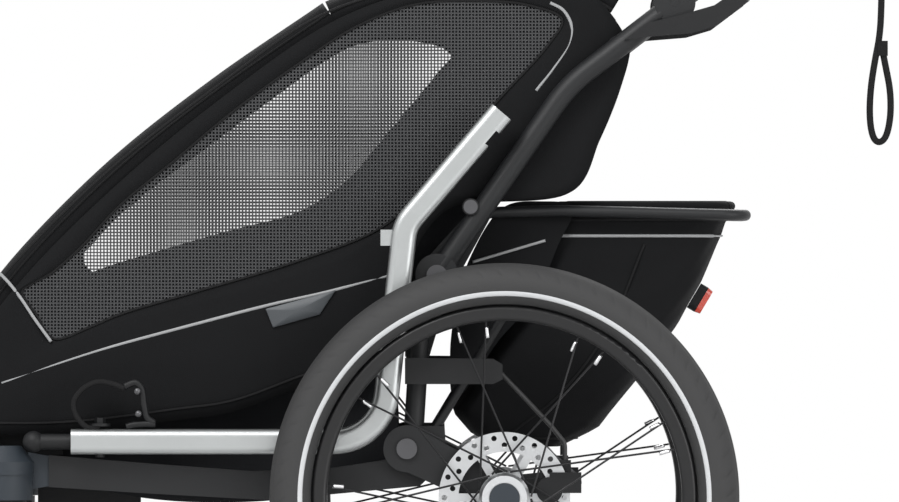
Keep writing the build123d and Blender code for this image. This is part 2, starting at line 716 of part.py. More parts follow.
def make_bag():
    """Open-topped soft bag on a hinged tube frame, with a rear light."""
    with BuildPart() as bag:
        with BuildSketch(side(BAG_HALF_WIDTH)):
            outline(BAG)
        extrude(amount=2 * BAG_HALF_WIDTH)
        with BuildSketch(side(BAG_HALF_WIDTH - BAG_WALL)):
            outline(
                [(52, 600), (205, 600), (226, 552), (226, 530), (206, 481), (181, 438), (138, 379), (122, 356),
                 (98, 329), (66, 314), (35, 308), (-3, 311), (-28, 320), (-48, 341), (-12, 400), (20, 455)]
            )
        extrude(amount=2 * (BAG_HALF_WIDTH - BAG_WALL), mode=Mode.SUBTRACT)
    save(bag, "cargo_bag")

    bx, bz = BAG_PIVOT
    with BuildPart() as frame:
        with BuildLine():
            FilletPolyline(
                at(bx + 8, BAG_ARM_Y, bz),
                at(60, BAG_ARM_Y, 556),
                at(BAG_REACH, BAG_ARM_Y, 551),
                at(BAG_REACH, -BAG_ARM_Y, 551),
                at(60, -BAG_ARM_Y, 556),
                at(bx + 8, -BAG_ARM_Y, bz),
                radius=(300, 24, 24, 300),
            )
        with BuildSketch(Plane(origin=at(bx + 8, BAG_ARM_Y, bz), z_dir=(60 - bx - 8, 0, 2))):
            Circle(BAG_ARM_R)
        sweep()
        for y in (-BAG_ARM_Y, BAG_ARM_Y):
            with BuildSketch(side(y + BAG_ARM_R)):
                with Locations((bx, bz)):
                    Circle(11)
            extrude(amount=2 * BAG_ARM_R)
            with BuildSketch(side(y + BAG_ARM_R + 4)):
                with Locations((bx, bz)):
                    Circle(BAG_PIN_R + PIN_CLEARANCE)
            extrude(amount=2 * BAG_ARM_R + 8, mode=Mode.SUBTRACT)
    save(frame, "bag_frame")

    slope = Plane(origin=at(205.2, 0, 464.8), x_dir=(0, 1, 0), z_dir=(0.86, 0, -0.51))
    with BuildPart() as body:
        with BuildSketch(slope):
            RectangleRounded(70, 30, 6)
        extrude(amount=9)
    save(body, "light_body")
    with BuildPart() as lens:
        with BuildSketch(slope.offset(9.0)):
            RectangleRounded(70, 30, 6)
        extrude(amount=6, taper=12)
    save(lens, "light_lens")


# ---- push bar -------------------------------------------------------------------------------------
def make_push_bar():
    """Push bar with its grip, wrist strap and brake lever."""
    bx, bz = BAR_PIVOT
    ex, ez = BAR_END
    w = BAR_HALF_WIDTH
    root = (bx + 6, bz + 4)
    mid = (300.0, 862.0)
    with BuildPart() as bar:
        with BuildLine():
            FilletPolyline(
                at(root[0], w, root[1]),
                at(mid[0], w, mid[1]),
                at(ex, w, ez),
                at(ex, -w, ez),
                at(mid[0], -w, mid[1]),
                at(root[0], -w, root[1]),
                radius=45,
            )
        with BuildSketch(Plane(origin=at(root[0], w, root[1]), z_dir=(mid[0] - root[0], 0, mid[1] - root[1]))):
            Circle(BAR_R)
        sweep()
        inner = POST_Y - HOUSING_WIDTH / 2 - GAP
        disc(BAR_PIVOT, BAR_LUG_R, inner - 22, inner)
        disc(BAR_PIVOT, BAR_LUG_R, -inner, -inner + 22)
        disc(BAR_PIVOT, PIVOT_PIN_R, inner - 2, inner + HOUSING_WIDTH)
        disc(BAR_PIVOT, PIVOT_PIN_R, -inner - HOUSING_WIDTH, -inner + 2)
    save(bar, "push_bar")

    with BuildPart() as grip:
        with BuildSketch(side(GRIP_HALF_LENGTH)):
            with Locations((ex, ez)):
                Circle(GRIP_R)
                Circle(BAR_R + PIN_CLEARANCE, mode=Mode.SUBTRACT)
        extrude(amount=2 * GRIP_HALF_LENGTH)
    save(grip, "bar_grip")

    strap_y = -(GRIP_HALF_LENGTH + 13)
    with BuildPart() as strap:
        with BuildSketch(side(strap_y + 10)):
            with Locations((ex, ez)):
                Circle(14.5)
                Circle(BAR_R + 0.3, mode=Mode.SUBTRACT)
            outline(STRAP_LOOP_OUTER)
            outline(STRAP_LOOP_INNER, Mode.SUBTRACT)
        extrude(amount=20)
    save(strap, "wrist_strap")


STRAP_LOOP_OUTER = [
    (402, 954), (401, 760), (393, 730), (390, 690), (389, 650), (393, 632), (400, 626), (408, 632),
    (417, 660), (416, 690), (408, 722), (406, 760), (407, 954),
]
STRAP_LOOP_INNER = [(402, 722), (396, 700), (394, 655), (397, 638), (401, 634), (405, 638), (412, 662), (411, 690)]


def make_brake_lever():
    """Hand brake lever clamped beside the grip."""
    ex, ez = BAR_END
    y = GRIP_HALF_LENGTH + 16
    with BuildPart() as mount:
        with BuildSketch(side(y + 9)):
            with Locations((ex, ez)):
                Circle(15.5)
                Circle(BAR_R + 0.2, mode=Mode.SUBTRACT)
        extrude(amount=18)
        with BuildSketch(Plane(origin=at(ex - 22, y + 4, ez - 7), x_dir=(1, 0, 0), z_dir=(0, 0, 1))):
            Rectangle(20, 8)
        extrude(amount=14)
    save(mount, "lever_mount")
    with BuildPart() as lever:
        with BuildSketch(Plane(origin=at(ex - 30, 0, ez - 4), x_dir=(1, 0, 0), z_dir=(0, 0, 1))):
            outline([(-9, y + 7), (-2.5, y + 7), (-2.5, y - 10), (-12, 30), (-20, 30), (-11, y - 10)])
        extrude(amount=8)
    save(lever, "brake_lever")


# ---- casters ---------------------------------------------------------------------------------------
def make_caster(name, s):
    """Swivel fork and small wheel of one front caster."""
    y = s * CASTER_Y
    x = CASTER_PIVOT_X
    hx = x + CASTER_TRAIL
    half = CASTER_WIDTH / 2
    crown_top = CASTER_HOUSING_LOW - GAP
    with BuildPart() as fork:
        with BuildSketch(Plane.XY.offset(crown_top - 10)):
            with Locations((AXLE_X + x, y)):
                Circle(26)
        extrude(amount=10)
        with BuildSketch(Plane.XY.offset(crown_top - 2)):
            with Locations((AXLE_X + x, y)):
                Circle(CASTER_PIN_R)
        extrude(amount=30)
        with BuildSketch(side(y + half + 7)):
            outline([(x - 20, crown_top - 4), (x + 22, crown_top - 4), (x + 44, 200), (hx + 12, 88), (hx - 12, 78), (x + 2, 180)])
        extrude(amount=2 * (half + 7))
        with BuildSketch(side(y + half + 2)):
            outline([(x - 60, 188), (x - 10, 198), (x + 75, 190), (hx + 90, 55), (hx - 90, 55)])
        extrude(amount=2 * (half + 2), mode=Mode.SUBTRACT)
        with BuildSketch(side(y + half + 8)):
            with Locations((hx, CASTER_R)):
                Circle(5)
        extrude(amount=2 * (half + 8))
    save(fork, f"caster_fork_{name}")

    with BuildPart() as wheel:
        with BuildSketch(across(y, hx, CASTER_R)):
            with Locations((0, CASTER_R - half)):
                Circle(half)
            with Locations((0, CASTER_R - half - 6)):
                Rectangle(CASTER_WIDTH, 16, align=(Align.CENTER, Align.MAX), mode=Mode.SUBTRACT)
        revolve(axis=lateral_axis(hx, CASTER_R))
        rim_r = CASTER_R - half - 6.5
        with BuildSketch(side(y + half - 5)):
            with Locations((hx, CASTER_R)):
                Circle(rim_r)
                Circle(rim_r - 8, mode=Mode.SUBTRACT)
                Circle(15)
                with PolarLocations(35, 5):
                    Rectangle(50, 9)
                Circle(5 + PIN_CLEARANCE, mode=Mode.SUBTRACT)
        extrude(amount=2 * (half - 5))
    save(wheel, f"caster_wheel_{name}")


# ---- towing arm ------------------------------------------------------------------------------------
def make_towing_arm():
    """Bent towing arm in its stowed place on the left, with its ball end and safety strap."""
    start = (ARM_FRONT, ARM_Z)
    route = [start, (-131.0, ARM_Z), (-106.0, 540.0), (-3.0, 661.0)]
    pts = [at(x, ARM_Y, z) for x, z in route]
    with BuildPart() as arm:
        with BuildLine():
            FilletPolyline(*pts, radius=(57, 40))
        with BuildSketch(Plane(origin=pts[0], x_dir=(0, 1, 0), z_dir=(1, 0, 0))):
            RectangleRounded(ARM_SIZE, ARM_SIZE, ARM_CORNER)
        sweep()
        along = (Vector(*pts[3]) - Vector(*pts[2])).normalized()
        across_arm = Vector(along.Z, 0, -along.X)
        notch = Vector(*pts[3]) - along * 28 + across_arm * ARM_SIZE / 2
        with BuildSketch(Plane(origin=notch, x_dir=along, z_dir=(0, -1, 0))):
            Rectangle(18, 10)
        extrude(amount=ARM_SIZE, both=True, mode=Mode.SUBTRACT)
        with BuildSketch(Plane(origin=at(-125, ARM_Y + 6, 527), x_dir=(1, 0, 0), z_dir=(0, -1, 0))):
            Rectangle(14, 17)
        extrude(amount=12)
    save(arm, "towing_arm")

    neck_r, ball_r, reach = 8.5, 11.5, 40.0
    with BuildPart() as ball:
        with BuildSketch(Plane(origin=at(start[0], ARM_Y, start[1]), x_dir=(1, 0, 0), z_dir=(0, -1, 0))):
            with Locations((-reach, 0)):
                Circle(ball_r)
            with Locations((-reach / 2, 0)):
                Rectangle(reach, 2 * neck_r)
            with Locations((-reach, 0)):
                Rectangle(4 * reach, 2 * ball_r, align=(Align.CENTER, Align.MAX), mode=Mode.SUBTRACT)
        revolve(axis=Axis(at(start[0], ARM_Y, start[1]), (1, 0, 0)))
        with BuildSketch(Plane(origin=at(-431, ARM_Y, start[1] + ARM_SIZE / 2 + 3.0), x_dir=(1, 0, 0), z_dir=(0, 0, 1))):
            Circle(11)
        extrude(amount=3)
        with BuildSketch(Plane(origin=at(-431, ARM_Y, start[1] + ARM_SIZE / 2 + 6.0), x_dir=(1, 0, 0), z_dir=(0, 0, 1))):
            RegularPolygon(6, 6)
        extrude(amount=6)
        with BuildSketch(Plane(origin=at(-431, ARM_Y, start[1] - ARM_SIZE / 2), x_dir=(1, 0, 0), z_dir=(0, 0, -1))):
            Circle(5)
        extrude(amount=3)
    save(ball, "arm_fittings")


    z0 = start[1] + ARM_SIZE / 2 + 0.5
    with BuildPart() as strap:
        with BuildSketch(side(ARM_Y + 9)):
            outline(
                [(-430, z0 - 0.2), (-445, z0 - 0.2), (-457, z0 + 10), (-461, z0 + 28), (-452, z0 + 44), (-434, z0 + 53),
                 (-404, z0 + 46), (-405, z0 + 42), (-434, z0 + 49), (-449, z0 + 41), (-457, z0 + 28), (-453, z0 + 12),
                 (-443, z0 + 2.3), (-430, z0 + 2.3)]
            )
        extrude(amount=18)
        with BuildSketch(side(ARM_Y + 9)):
            outline([(-404, z0 + 48), (-394, z0 + 52), (-386, z0 + 46), (-380, z0 + 14), (-371, z0 + 9), (-404, z0 + 0.5), (-396, z0 + 14), (-405, z0 + 40)])
        extrude(amount=18)
    save(strap, "safety_strap")


# ---- parking brake pedal ----------------------------------------------------------------------------
def make_pedal():
    """Foot pedal behind the rear crossbar."""
    with BuildPart() as pedal:
        with BuildSketch(side(60)):
            outline([(-88.7, 280), (-88.7, 296), (-46, 284), (-22, 286), (-20, 280), (-46, 274)])
        extrude(amount=50)
    save(pedal, "parking_pedal")


for label, sign in SIDES.items():
    make_wheel(label, sign)
    make_suspension(label, sign)
    make_caster(label, sign)
make_chassis()
make_hitch_receiver()
make_rear_frame()
make_roof()
make_cabin()
make_bag()
make_push_bar()
make_brake_lever()
make_towing_arm()
make_pedal()
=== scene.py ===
"""Child bicycle trailer: fabrics, tyres, straps, finishes and the stage around the packed frame.

Lengths in the outlines are millimetres, as (place behind the axle, height). Every mesh is in metres.
"""

import json
import math

import bmesh
import bpy
import numpy as np
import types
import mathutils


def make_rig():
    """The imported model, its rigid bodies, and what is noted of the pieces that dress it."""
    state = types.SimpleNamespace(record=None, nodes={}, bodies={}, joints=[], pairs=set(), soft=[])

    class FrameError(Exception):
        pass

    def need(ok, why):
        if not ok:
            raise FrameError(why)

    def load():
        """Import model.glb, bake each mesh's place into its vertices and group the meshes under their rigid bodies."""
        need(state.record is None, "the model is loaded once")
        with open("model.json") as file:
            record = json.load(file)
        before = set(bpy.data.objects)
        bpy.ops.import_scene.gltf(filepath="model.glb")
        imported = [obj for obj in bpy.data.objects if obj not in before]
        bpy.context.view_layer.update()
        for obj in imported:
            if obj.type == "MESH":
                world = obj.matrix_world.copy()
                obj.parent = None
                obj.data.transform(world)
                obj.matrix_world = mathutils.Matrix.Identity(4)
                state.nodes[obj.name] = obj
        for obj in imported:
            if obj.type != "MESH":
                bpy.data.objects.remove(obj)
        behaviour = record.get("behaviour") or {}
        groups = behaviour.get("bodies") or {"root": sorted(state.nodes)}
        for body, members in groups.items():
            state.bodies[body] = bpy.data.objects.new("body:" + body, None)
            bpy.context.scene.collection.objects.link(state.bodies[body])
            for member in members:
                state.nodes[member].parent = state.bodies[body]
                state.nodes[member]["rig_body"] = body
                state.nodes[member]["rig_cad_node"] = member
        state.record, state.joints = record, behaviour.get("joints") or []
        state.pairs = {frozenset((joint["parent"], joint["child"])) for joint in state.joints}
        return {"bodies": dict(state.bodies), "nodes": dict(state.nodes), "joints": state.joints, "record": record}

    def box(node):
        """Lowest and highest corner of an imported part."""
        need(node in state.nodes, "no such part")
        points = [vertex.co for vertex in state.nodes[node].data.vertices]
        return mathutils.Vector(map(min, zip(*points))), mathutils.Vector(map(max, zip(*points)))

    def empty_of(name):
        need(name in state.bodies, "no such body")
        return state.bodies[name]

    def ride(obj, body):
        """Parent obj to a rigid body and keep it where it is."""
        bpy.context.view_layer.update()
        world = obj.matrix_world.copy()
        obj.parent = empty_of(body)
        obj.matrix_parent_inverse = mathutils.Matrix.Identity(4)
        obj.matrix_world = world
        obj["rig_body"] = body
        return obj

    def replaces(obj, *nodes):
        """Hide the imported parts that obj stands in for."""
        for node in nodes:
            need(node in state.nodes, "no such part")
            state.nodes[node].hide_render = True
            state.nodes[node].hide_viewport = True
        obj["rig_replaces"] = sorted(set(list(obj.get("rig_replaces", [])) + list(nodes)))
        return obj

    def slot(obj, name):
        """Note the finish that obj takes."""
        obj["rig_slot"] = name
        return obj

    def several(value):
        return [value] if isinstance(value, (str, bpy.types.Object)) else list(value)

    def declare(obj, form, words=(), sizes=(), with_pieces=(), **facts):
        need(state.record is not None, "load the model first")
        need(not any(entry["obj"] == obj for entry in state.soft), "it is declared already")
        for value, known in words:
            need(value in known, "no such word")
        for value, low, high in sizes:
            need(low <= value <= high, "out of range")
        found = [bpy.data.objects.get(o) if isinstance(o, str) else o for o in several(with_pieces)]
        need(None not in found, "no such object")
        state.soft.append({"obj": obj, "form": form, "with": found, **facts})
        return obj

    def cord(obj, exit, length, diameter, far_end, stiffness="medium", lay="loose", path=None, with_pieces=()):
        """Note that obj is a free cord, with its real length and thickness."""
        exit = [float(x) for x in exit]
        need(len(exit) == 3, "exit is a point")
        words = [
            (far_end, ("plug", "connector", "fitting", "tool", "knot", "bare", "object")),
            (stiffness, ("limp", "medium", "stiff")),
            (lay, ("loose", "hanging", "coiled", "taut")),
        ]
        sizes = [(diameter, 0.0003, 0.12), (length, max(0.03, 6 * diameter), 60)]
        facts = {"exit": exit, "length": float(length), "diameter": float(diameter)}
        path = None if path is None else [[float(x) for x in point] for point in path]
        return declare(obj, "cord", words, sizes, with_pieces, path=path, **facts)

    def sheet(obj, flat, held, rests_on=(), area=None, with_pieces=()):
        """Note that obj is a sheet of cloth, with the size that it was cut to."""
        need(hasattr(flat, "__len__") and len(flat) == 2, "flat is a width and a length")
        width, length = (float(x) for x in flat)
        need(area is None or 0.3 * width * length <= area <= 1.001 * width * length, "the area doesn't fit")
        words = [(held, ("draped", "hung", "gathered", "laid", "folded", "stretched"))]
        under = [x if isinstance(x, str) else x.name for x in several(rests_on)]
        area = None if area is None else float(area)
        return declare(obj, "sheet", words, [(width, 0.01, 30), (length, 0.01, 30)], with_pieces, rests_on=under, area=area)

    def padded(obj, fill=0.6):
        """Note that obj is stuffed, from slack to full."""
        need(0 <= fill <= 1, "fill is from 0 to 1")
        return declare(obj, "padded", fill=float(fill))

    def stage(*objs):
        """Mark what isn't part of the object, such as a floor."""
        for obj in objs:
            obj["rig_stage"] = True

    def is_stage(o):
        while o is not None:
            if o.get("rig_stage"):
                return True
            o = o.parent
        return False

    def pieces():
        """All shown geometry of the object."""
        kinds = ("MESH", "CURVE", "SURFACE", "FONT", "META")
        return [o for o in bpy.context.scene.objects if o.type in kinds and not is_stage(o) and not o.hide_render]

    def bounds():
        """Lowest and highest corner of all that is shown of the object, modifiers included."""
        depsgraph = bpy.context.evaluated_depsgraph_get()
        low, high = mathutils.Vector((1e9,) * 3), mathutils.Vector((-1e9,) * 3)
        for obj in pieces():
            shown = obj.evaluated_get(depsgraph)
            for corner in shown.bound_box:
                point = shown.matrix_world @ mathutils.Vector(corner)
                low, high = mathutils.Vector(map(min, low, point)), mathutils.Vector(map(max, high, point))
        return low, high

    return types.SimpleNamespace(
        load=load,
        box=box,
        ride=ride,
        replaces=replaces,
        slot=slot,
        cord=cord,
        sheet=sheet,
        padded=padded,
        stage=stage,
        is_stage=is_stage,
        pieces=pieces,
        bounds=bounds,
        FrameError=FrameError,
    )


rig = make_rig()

bl_info = {
    "name": "Child bicycle trailer",
    "version": (1, 0, 0),
    "blender": (4, 5, 0),
    "location": "View3D > Sidebar > Trailer",
    "description": "Builds the soft parts, tyres, finishes and stage of a child bicycle trailer",
    "category": "Object",
}

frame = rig.load()
CAD_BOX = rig.bounds()
MM = 0.001
SIDES = {"left": -1.0, "right": 1.0}


def middle(node):
    """Centre of a node's box."""
    low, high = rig.box(node)
    return (np.array(low) + np.array(high)) / 2


AXLE = middle("tyre_left")
AXLE_X = float(AXLE[0])
WHEEL_Y = abs(float(AXLE[1]))
TYRE_R = float(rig.box("tyre_left")[1][2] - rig.box("tyre_left")[0][2]) / 2
TYRE_HALF = float(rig.box("tyre_left")[1][1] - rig.box("tyre_left")[0][1]) / 2
PANEL_Y = float(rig.box("side_panels")[1][1])
COVER_HALF = float(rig.box("front_cover")[1][1])
BAG_HALF = float(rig.box("cargo_bag")[1][1])
LINER_Y = float(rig.box("seat_liner")[1][1])

WINDOW = [
    (-515, 471), (-500, 445), (-481, 419), (-446, 430), (-411, 445), (-334, 468), (-218, 503), (-128, 540),
    (-79, 588), (-10, 670), (47, 733), (62, 760), (27, 775), (-26, 780), (-96, 776), (-157, 753),
    (-218, 714), (-292, 660), (-354, 608), (-411, 561), (-454, 515), (-488, 486),
]
PANEL = [
    (-601, 345), (-600, 318), (-560, 317), (-470, 318), (-350, 332), (-290, 341), (-218, 367), (-164, 384),
    (-118, 432), (-106, 487), (-62, 556), (75, 578), (102, 631), (117, 666), (126, 692), (133, 717),
    (134, 731), (114, 766), (88, 792), (40, 804), (-30, 802), (-98, 790), (-185, 757), (-301, 677),
    (-407, 590), (-503, 496), (-556, 430), (-590, 372),
]
LINER = [
    (-470, 278), (-470, 470), (-445, 488), (-366, 514), (-292, 535), (-217, 556), (-166, 590), (-136, 625),
    (-95, 674), (-55, 721), (-30, 738), (44, 738), (-48, 530), (-112, 405), (-128, 278),
]
ROOF = [
    (-603, 386), (-558, 465), (-520, 514), (-423, 611), (-313, 698), (-195, 779),
    (-100, 812), (-30, 826), (40, 830), (100, 815), (150, 786),
]
COVER_SPLIT = 5
LOW_PIPING = [(-537, 372), (-435, 406), (-333, 434), (-252, 455), (-190, 469), (-129, 485), (-112, 489)]
FRONT_PIPING = [(-540, 490), (-530, 480), (-516, 462), (-502, 441), (-484, 416)]
REAR_PIPING = [(49, 778), (63, 770), (72, 753), (70, 735), (52, 707), (34, 684)]
UPPER_SEAM = [(-560, 455), (-520, 503), (-423, 598), (-313, 684), (-195, 765), (-100, 796)]
LOWER_SEAM = [(-600, 330), (-470, 330), (-350, 344), (-290, 353), (-218, 379), (-168, 396), (-126, 440)]
SHADE = [
    (-457, 509), (-446, 490), (-366, 514), (-292, 535), (-217, 556), (-166, 590), (-136, 625), (-95, 674),
    (-56, 719), (-62, 731), (-110, 742), (-159, 737), (-191, 721), (-250, 679), (-324, 624), (-399, 567),
]
GUSSET = [
    (-36, 506), (0, 560), (40, 566), (74, 560), (58, 520), (32, 461), (-5, 418), (-53, 354),
    (-58, 400), (-52, 450),
]
BADGE = [(-255, 451), (-180, 471), (-197, 445), (-247, 431)]
STRAP_ROUTE = [
    (404.5, 953), (404, 915), (404.5, 870), (405, 825), (404.5, 780), (403, 745), (397, 715), (392.5, 685),
    (391.5, 655), (395, 634), (402, 628), (410, 635), (414.5, 658), (414, 685), (409, 710), (405.5, 728),
]
STRAP_WIDTH = 20.0
PIPING_WIDTH = 0.0022
SIPES = 72
SPOKES = 18
RING_R = 0.2175
RING_HALF = 0.0027
FLOOR_HALF = 12.0
LENS = 850.0
SENSOR = 36.0
EYE = (AXLE_X - 0.0585, -WHEEL_Y - 0.0265667 * LENS, 0.5128)
STRAP_Y = middle("wrist_strap")[1]


# ---- geometry ------------------------------------------------------------------------------------
def place(x, y, z):
    """Points in metres in the row frame from millimetres behind the axle, metres across and height."""
    x, y, z = np.broadcast_arrays(np.asarray(x, float), np.asarray(y, float), np.asarray(z, float))
    return np.stack([AXLE_X + x * MM, y, z * MM], axis=-1)


def smooth(points, count, closed=False):
    """A centripetal cubic through the points, sampled evenly by length: each span is a Hermite cubic
    whose end slopes come from its neighbours."""
    p = np.asarray(points, float)
    if closed:
        p = np.vstack([p[-1:], p, p[:2]])
    else:
        p = np.vstack([2 * p[0] - p[1], p, 2 * p[-1] - p[-2]])
    t = np.linspace(0, 1, 24, endpoint=False)[None, :, None]
    a, b, c, d = p[:-3, None], p[1:-2, None], p[2:-1, None], p[3:, None]
    ab = np.linalg.norm(b - a, axis=-1, keepdims=True) ** 0.5 + 1e-9
    bc = np.linalg.norm(c - b, axis=-1, keepdims=True) ** 0.5 + 1e-9
    cd = np.linalg.norm(d - c, axis=-1, keepdims=True) ** 0.5 + 1e-9
    m1 = (c - b) + bc * ((b - a) / ab - (c - a) / (ab + bc))
    m2 = (c - b) + bc * ((d - c) / cd - (d - b) / (bc + cd))
    ends = (2 * t**3 - 3 * t**2 + 1) * b + (3 * t**2 - 2 * t**3) * c
    curve = ends + (t**3 - 2 * t**2 + t) * m1 + (t**3 - t**2) * m2
    curve = curve.reshape(-1, p.shape[1])
    curve = np.vstack([curve, p[-2][None]]) if not closed else np.vstack([curve, curve[:1]])
    run = np.concatenate([[0], np.cumsum(np.linalg.norm(np.diff(curve, axis=0), axis=1))])
    even = np.linspace(0, run[-1], count + 1 if closed else count)
    out = np.stack([np.interp(even, run, curve[:, k]) for k in range(p.shape[1])], axis=-1)
    return out[:-1] if closed else out


def add_mesh(name, points, wrap_u=False, wrap_v=False, flip=False):
    """A mesh from one or more grids of points, each an array (rows, columns, 3). Rows wrap round with
    wrap_u and columns with wrap_v. The UV map holds distance along each direction in metres."""
    grids = points if isinstance(points, list) else [points]
    verts, faces, uvs, base = [], [], [], 0
    for g in grids:
        n, m = g.shape[:2]
        i = np.arange(n if wrap_u else n - 1)[:, None]
        j = np.arange(m if wrap_v else m - 1)[None, :]
        i2, j2 = (i + 1) % n, (j + 1) % m
        quad = np.stack([i * m + j, i2 * m + j, i2 * m + j2, i * m + j2], axis=-1).reshape(-1, 4) + base
        du = np.linalg.norm(np.diff(g, axis=0, append=g[-1:]), axis=-1).max(axis=1)
        dv = np.linalg.norm(np.diff(g, axis=1, append=g[:, -1:]), axis=-1).max(axis=0)
        u = np.concatenate([[0], np.cumsum(du)])[: n + 1]
        v = np.concatenate([[0], np.cumsum(dv)])[: m + 1]
        iu, jv = (np.broadcast_to(k, (i.size, j.size)).reshape(-1) for k in (i, j))
        turn = ((0, 0), (1, 0), (1, 1), (0, 1))
        corner = np.stack([np.stack([u[iu + a], v[jv + b]], -1) for a, b in turn], 1)
        if flip:
            quad, corner = quad[:, ::-1], corner[:, ::-1]
        verts.append(g.reshape(-1, 3))
        faces.append(quad)
        uvs.append(corner)
        base += n * m
    mesh = bpy.data.meshes.new(name)
    mesh.from_pydata(np.vstack(verts).tolist(), [], np.vstack(faces).tolist())
    layer = mesh.uv_layers.new(name="cloth")
    layer.data.foreach_set("uv", np.vstack(uvs).reshape(-1).astype(np.float32))
    mesh.polygons.foreach_set("use_smooth", np.ones(len(mesh.polygons), bool))
    mesh.validate()
    piece = bpy.data.objects.new(name, mesh)
    bpy.context.scene.collection.objects.link(piece)
    return piece


def outward(piece, merge=1e-5):
    """Merges doubled points and turns the faces of a closed piece outwards."""
    bm = bmesh.new()
    bm.from_mesh(piece.data)
    bmesh.ops.remove_doubles(bm, verts=bm.verts, dist=merge)
    bmesh.ops.dissolve_degenerate(bm, dist=merge / 10, edges=bm.edges)
    bmesh.ops.recalc_face_normals(bm, faces=bm.faces)
    bm.to_mesh(piece.data)
    bm.free()
    piece.data.polygons.foreach_set("use_smooth", np.ones(len(piece.data.polygons), bool))
    return piece


def frames_along(path):
    """A side vector and an up vector square to each point of a path, the side vector as near to the Y
    axis as it goes."""
    tangent = np.gradient(path, axis=0)
    tangent /= np.linalg.norm(tangent, axis=1, keepdims=True)
    guide = np.where(np.abs(tangent[:, 1:2]) > 0.9, np.array([[0, 0, 1.0]]), np.array([[0, 1.0, 0]]))
    side = guide - (guide * tangent).sum(1, keepdims=True) * tangent
    side /= np.linalg.norm(side, axis=1, keepdims=True)
    return side, np.cross(tangent, side)


def sweep(path, width, height, power=2.0, count=12):
    """A closed tube round a path: its section is the superellipse of that width, along the side vector,
    and height, with capped ends that shrink to the path."""
    side, up = frames_along(path)
    a = np.linspace(0, 2 * np.pi, count, endpoint=False)
    c = np.sign(np.cos(a)) * np.abs(np.cos(a)) ** (2 / power) * width / 2
    s = np.sign(np.sin(a)) * np.abs(np.sin(a)) ** (2 / power) * height / 2
    rings = path[:, None] + side[:, None] * c[None, :, None] + up[:, None] * s[None, :, None]
    first, last = np.repeat(path[:1], count, 0)[None], np.repeat(path[-1:], count, 0)[None]
    return np.concatenate([first, rings, last])


def tube(name, paths, width, height=None, power=2.0, count=12):
    """A piece made of one closed tube for each path."""
    piece = add_mesh(name, [sweep(p, width, height or width, power, count) for p in paths], wrap_v=True)
    return outward(piece)


def finish_piece(piece, body, material, slot, replaced=(), thickness=None, smooth_levels=0):
    """Gives a piece its wall, smoothing, material, body, slot and the nodes that it stands for."""
    if thickness:
        solid = piece.modifiers.new("wall", "SOLIDIFY")
        solid.thickness, solid.offset = thickness, -1.0
    if smooth_levels:
        sub = piece.modifiers.new("smooth", "SUBSURF")
        sub.levels = sub.render_levels = smooth_levels
    piece.data.materials.clear()
    piece.data.materials.append(material)
    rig.ride(piece, body)
    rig.slot(piece, slot)
    if replaced:
        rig.replaces(piece, *replaced)
    return piece


# ---- shader groups and finishes -------------------------------------------------------------------
def new_group(name, inputs, outputs):
    """An empty shader group with its sockets and its two end nodes."""
    group = bpy.data.node_groups.new(name, "ShaderNodeTree")
    for label, kind, value in inputs:
        socket = group.interface.new_socket(name=label, in_out="INPUT", socket_type=kind)
        if value is not None:
            socket.default_value = value
    for label, kind in outputs:
        group.interface.new_socket(name=label, in_out="OUTPUT", socket_type=kind)
    return group, group.nodes.new("NodeGroupInput"), group.nodes.new("NodeGroupOutput")


def math_node(tree, operation, a, b=None, clamp=False):
    """A Math node with its two inputs linked or set."""
    node = tree.nodes.new("ShaderNodeMath")
    node.operation, node.use_clamp = operation, clamp
    for index, value in enumerate((a, b)):
        if value is None:
            continue
        if isinstance(value, (int, float)):
            node.inputs[index].default_value = value
        else:
            tree.links.new(value, node.inputs[index])
    return node.outputs[0]


def weave_group():
    """Threads of a plain weave: |sin| waves along both directions of the map, at one pitch. Height is
    their mean, and Threads is 1 on a thread and 0 in a hole of the net."""
    group, ins, outs = new_group(
        "plain_weave",
        [
            ("Vector", "NodeSocketVector", None),
            ("Pitch", "NodeSocketFloat", 0.001),
            ("Hole", "NodeSocketFloat", 0.5),
        ],
        [("Height", "NodeSocketFloat"), ("Threads", "NodeSocketFloat")],
    )
    parts = group.nodes.new("ShaderNodeSeparateXYZ")
    group.links.new(ins.outputs["Vector"], parts.inputs[0])
    rate = math_node(group, "DIVIDE", math.pi, ins.outputs["Pitch"])
    waves = []
    for axis in ("X", "Y"):
        angle = math_node(group, "MULTIPLY", parts.outputs[axis], rate)
        waves.append(math_node(group, "ABSOLUTE", math_node(group, "SINE", angle)))
    total = math_node(group, "ADD", waves[0], waves[1])
    group.links.new(math_node(group, "MULTIPLY", total, 0.5), outs.inputs["Height"])
    low = math_node(group, "MINIMUM", waves[0], waves[1])
    edge = math_node(group, "SUBTRACT", low, ins.outputs["Hole"])
    steep = math_node(group, "MULTIPLY", edge, 8.0)
    group.links.new(math_node(group, "SUBTRACT", 0.5, steep, clamp=True), outs.inputs["Threads"])
    return group


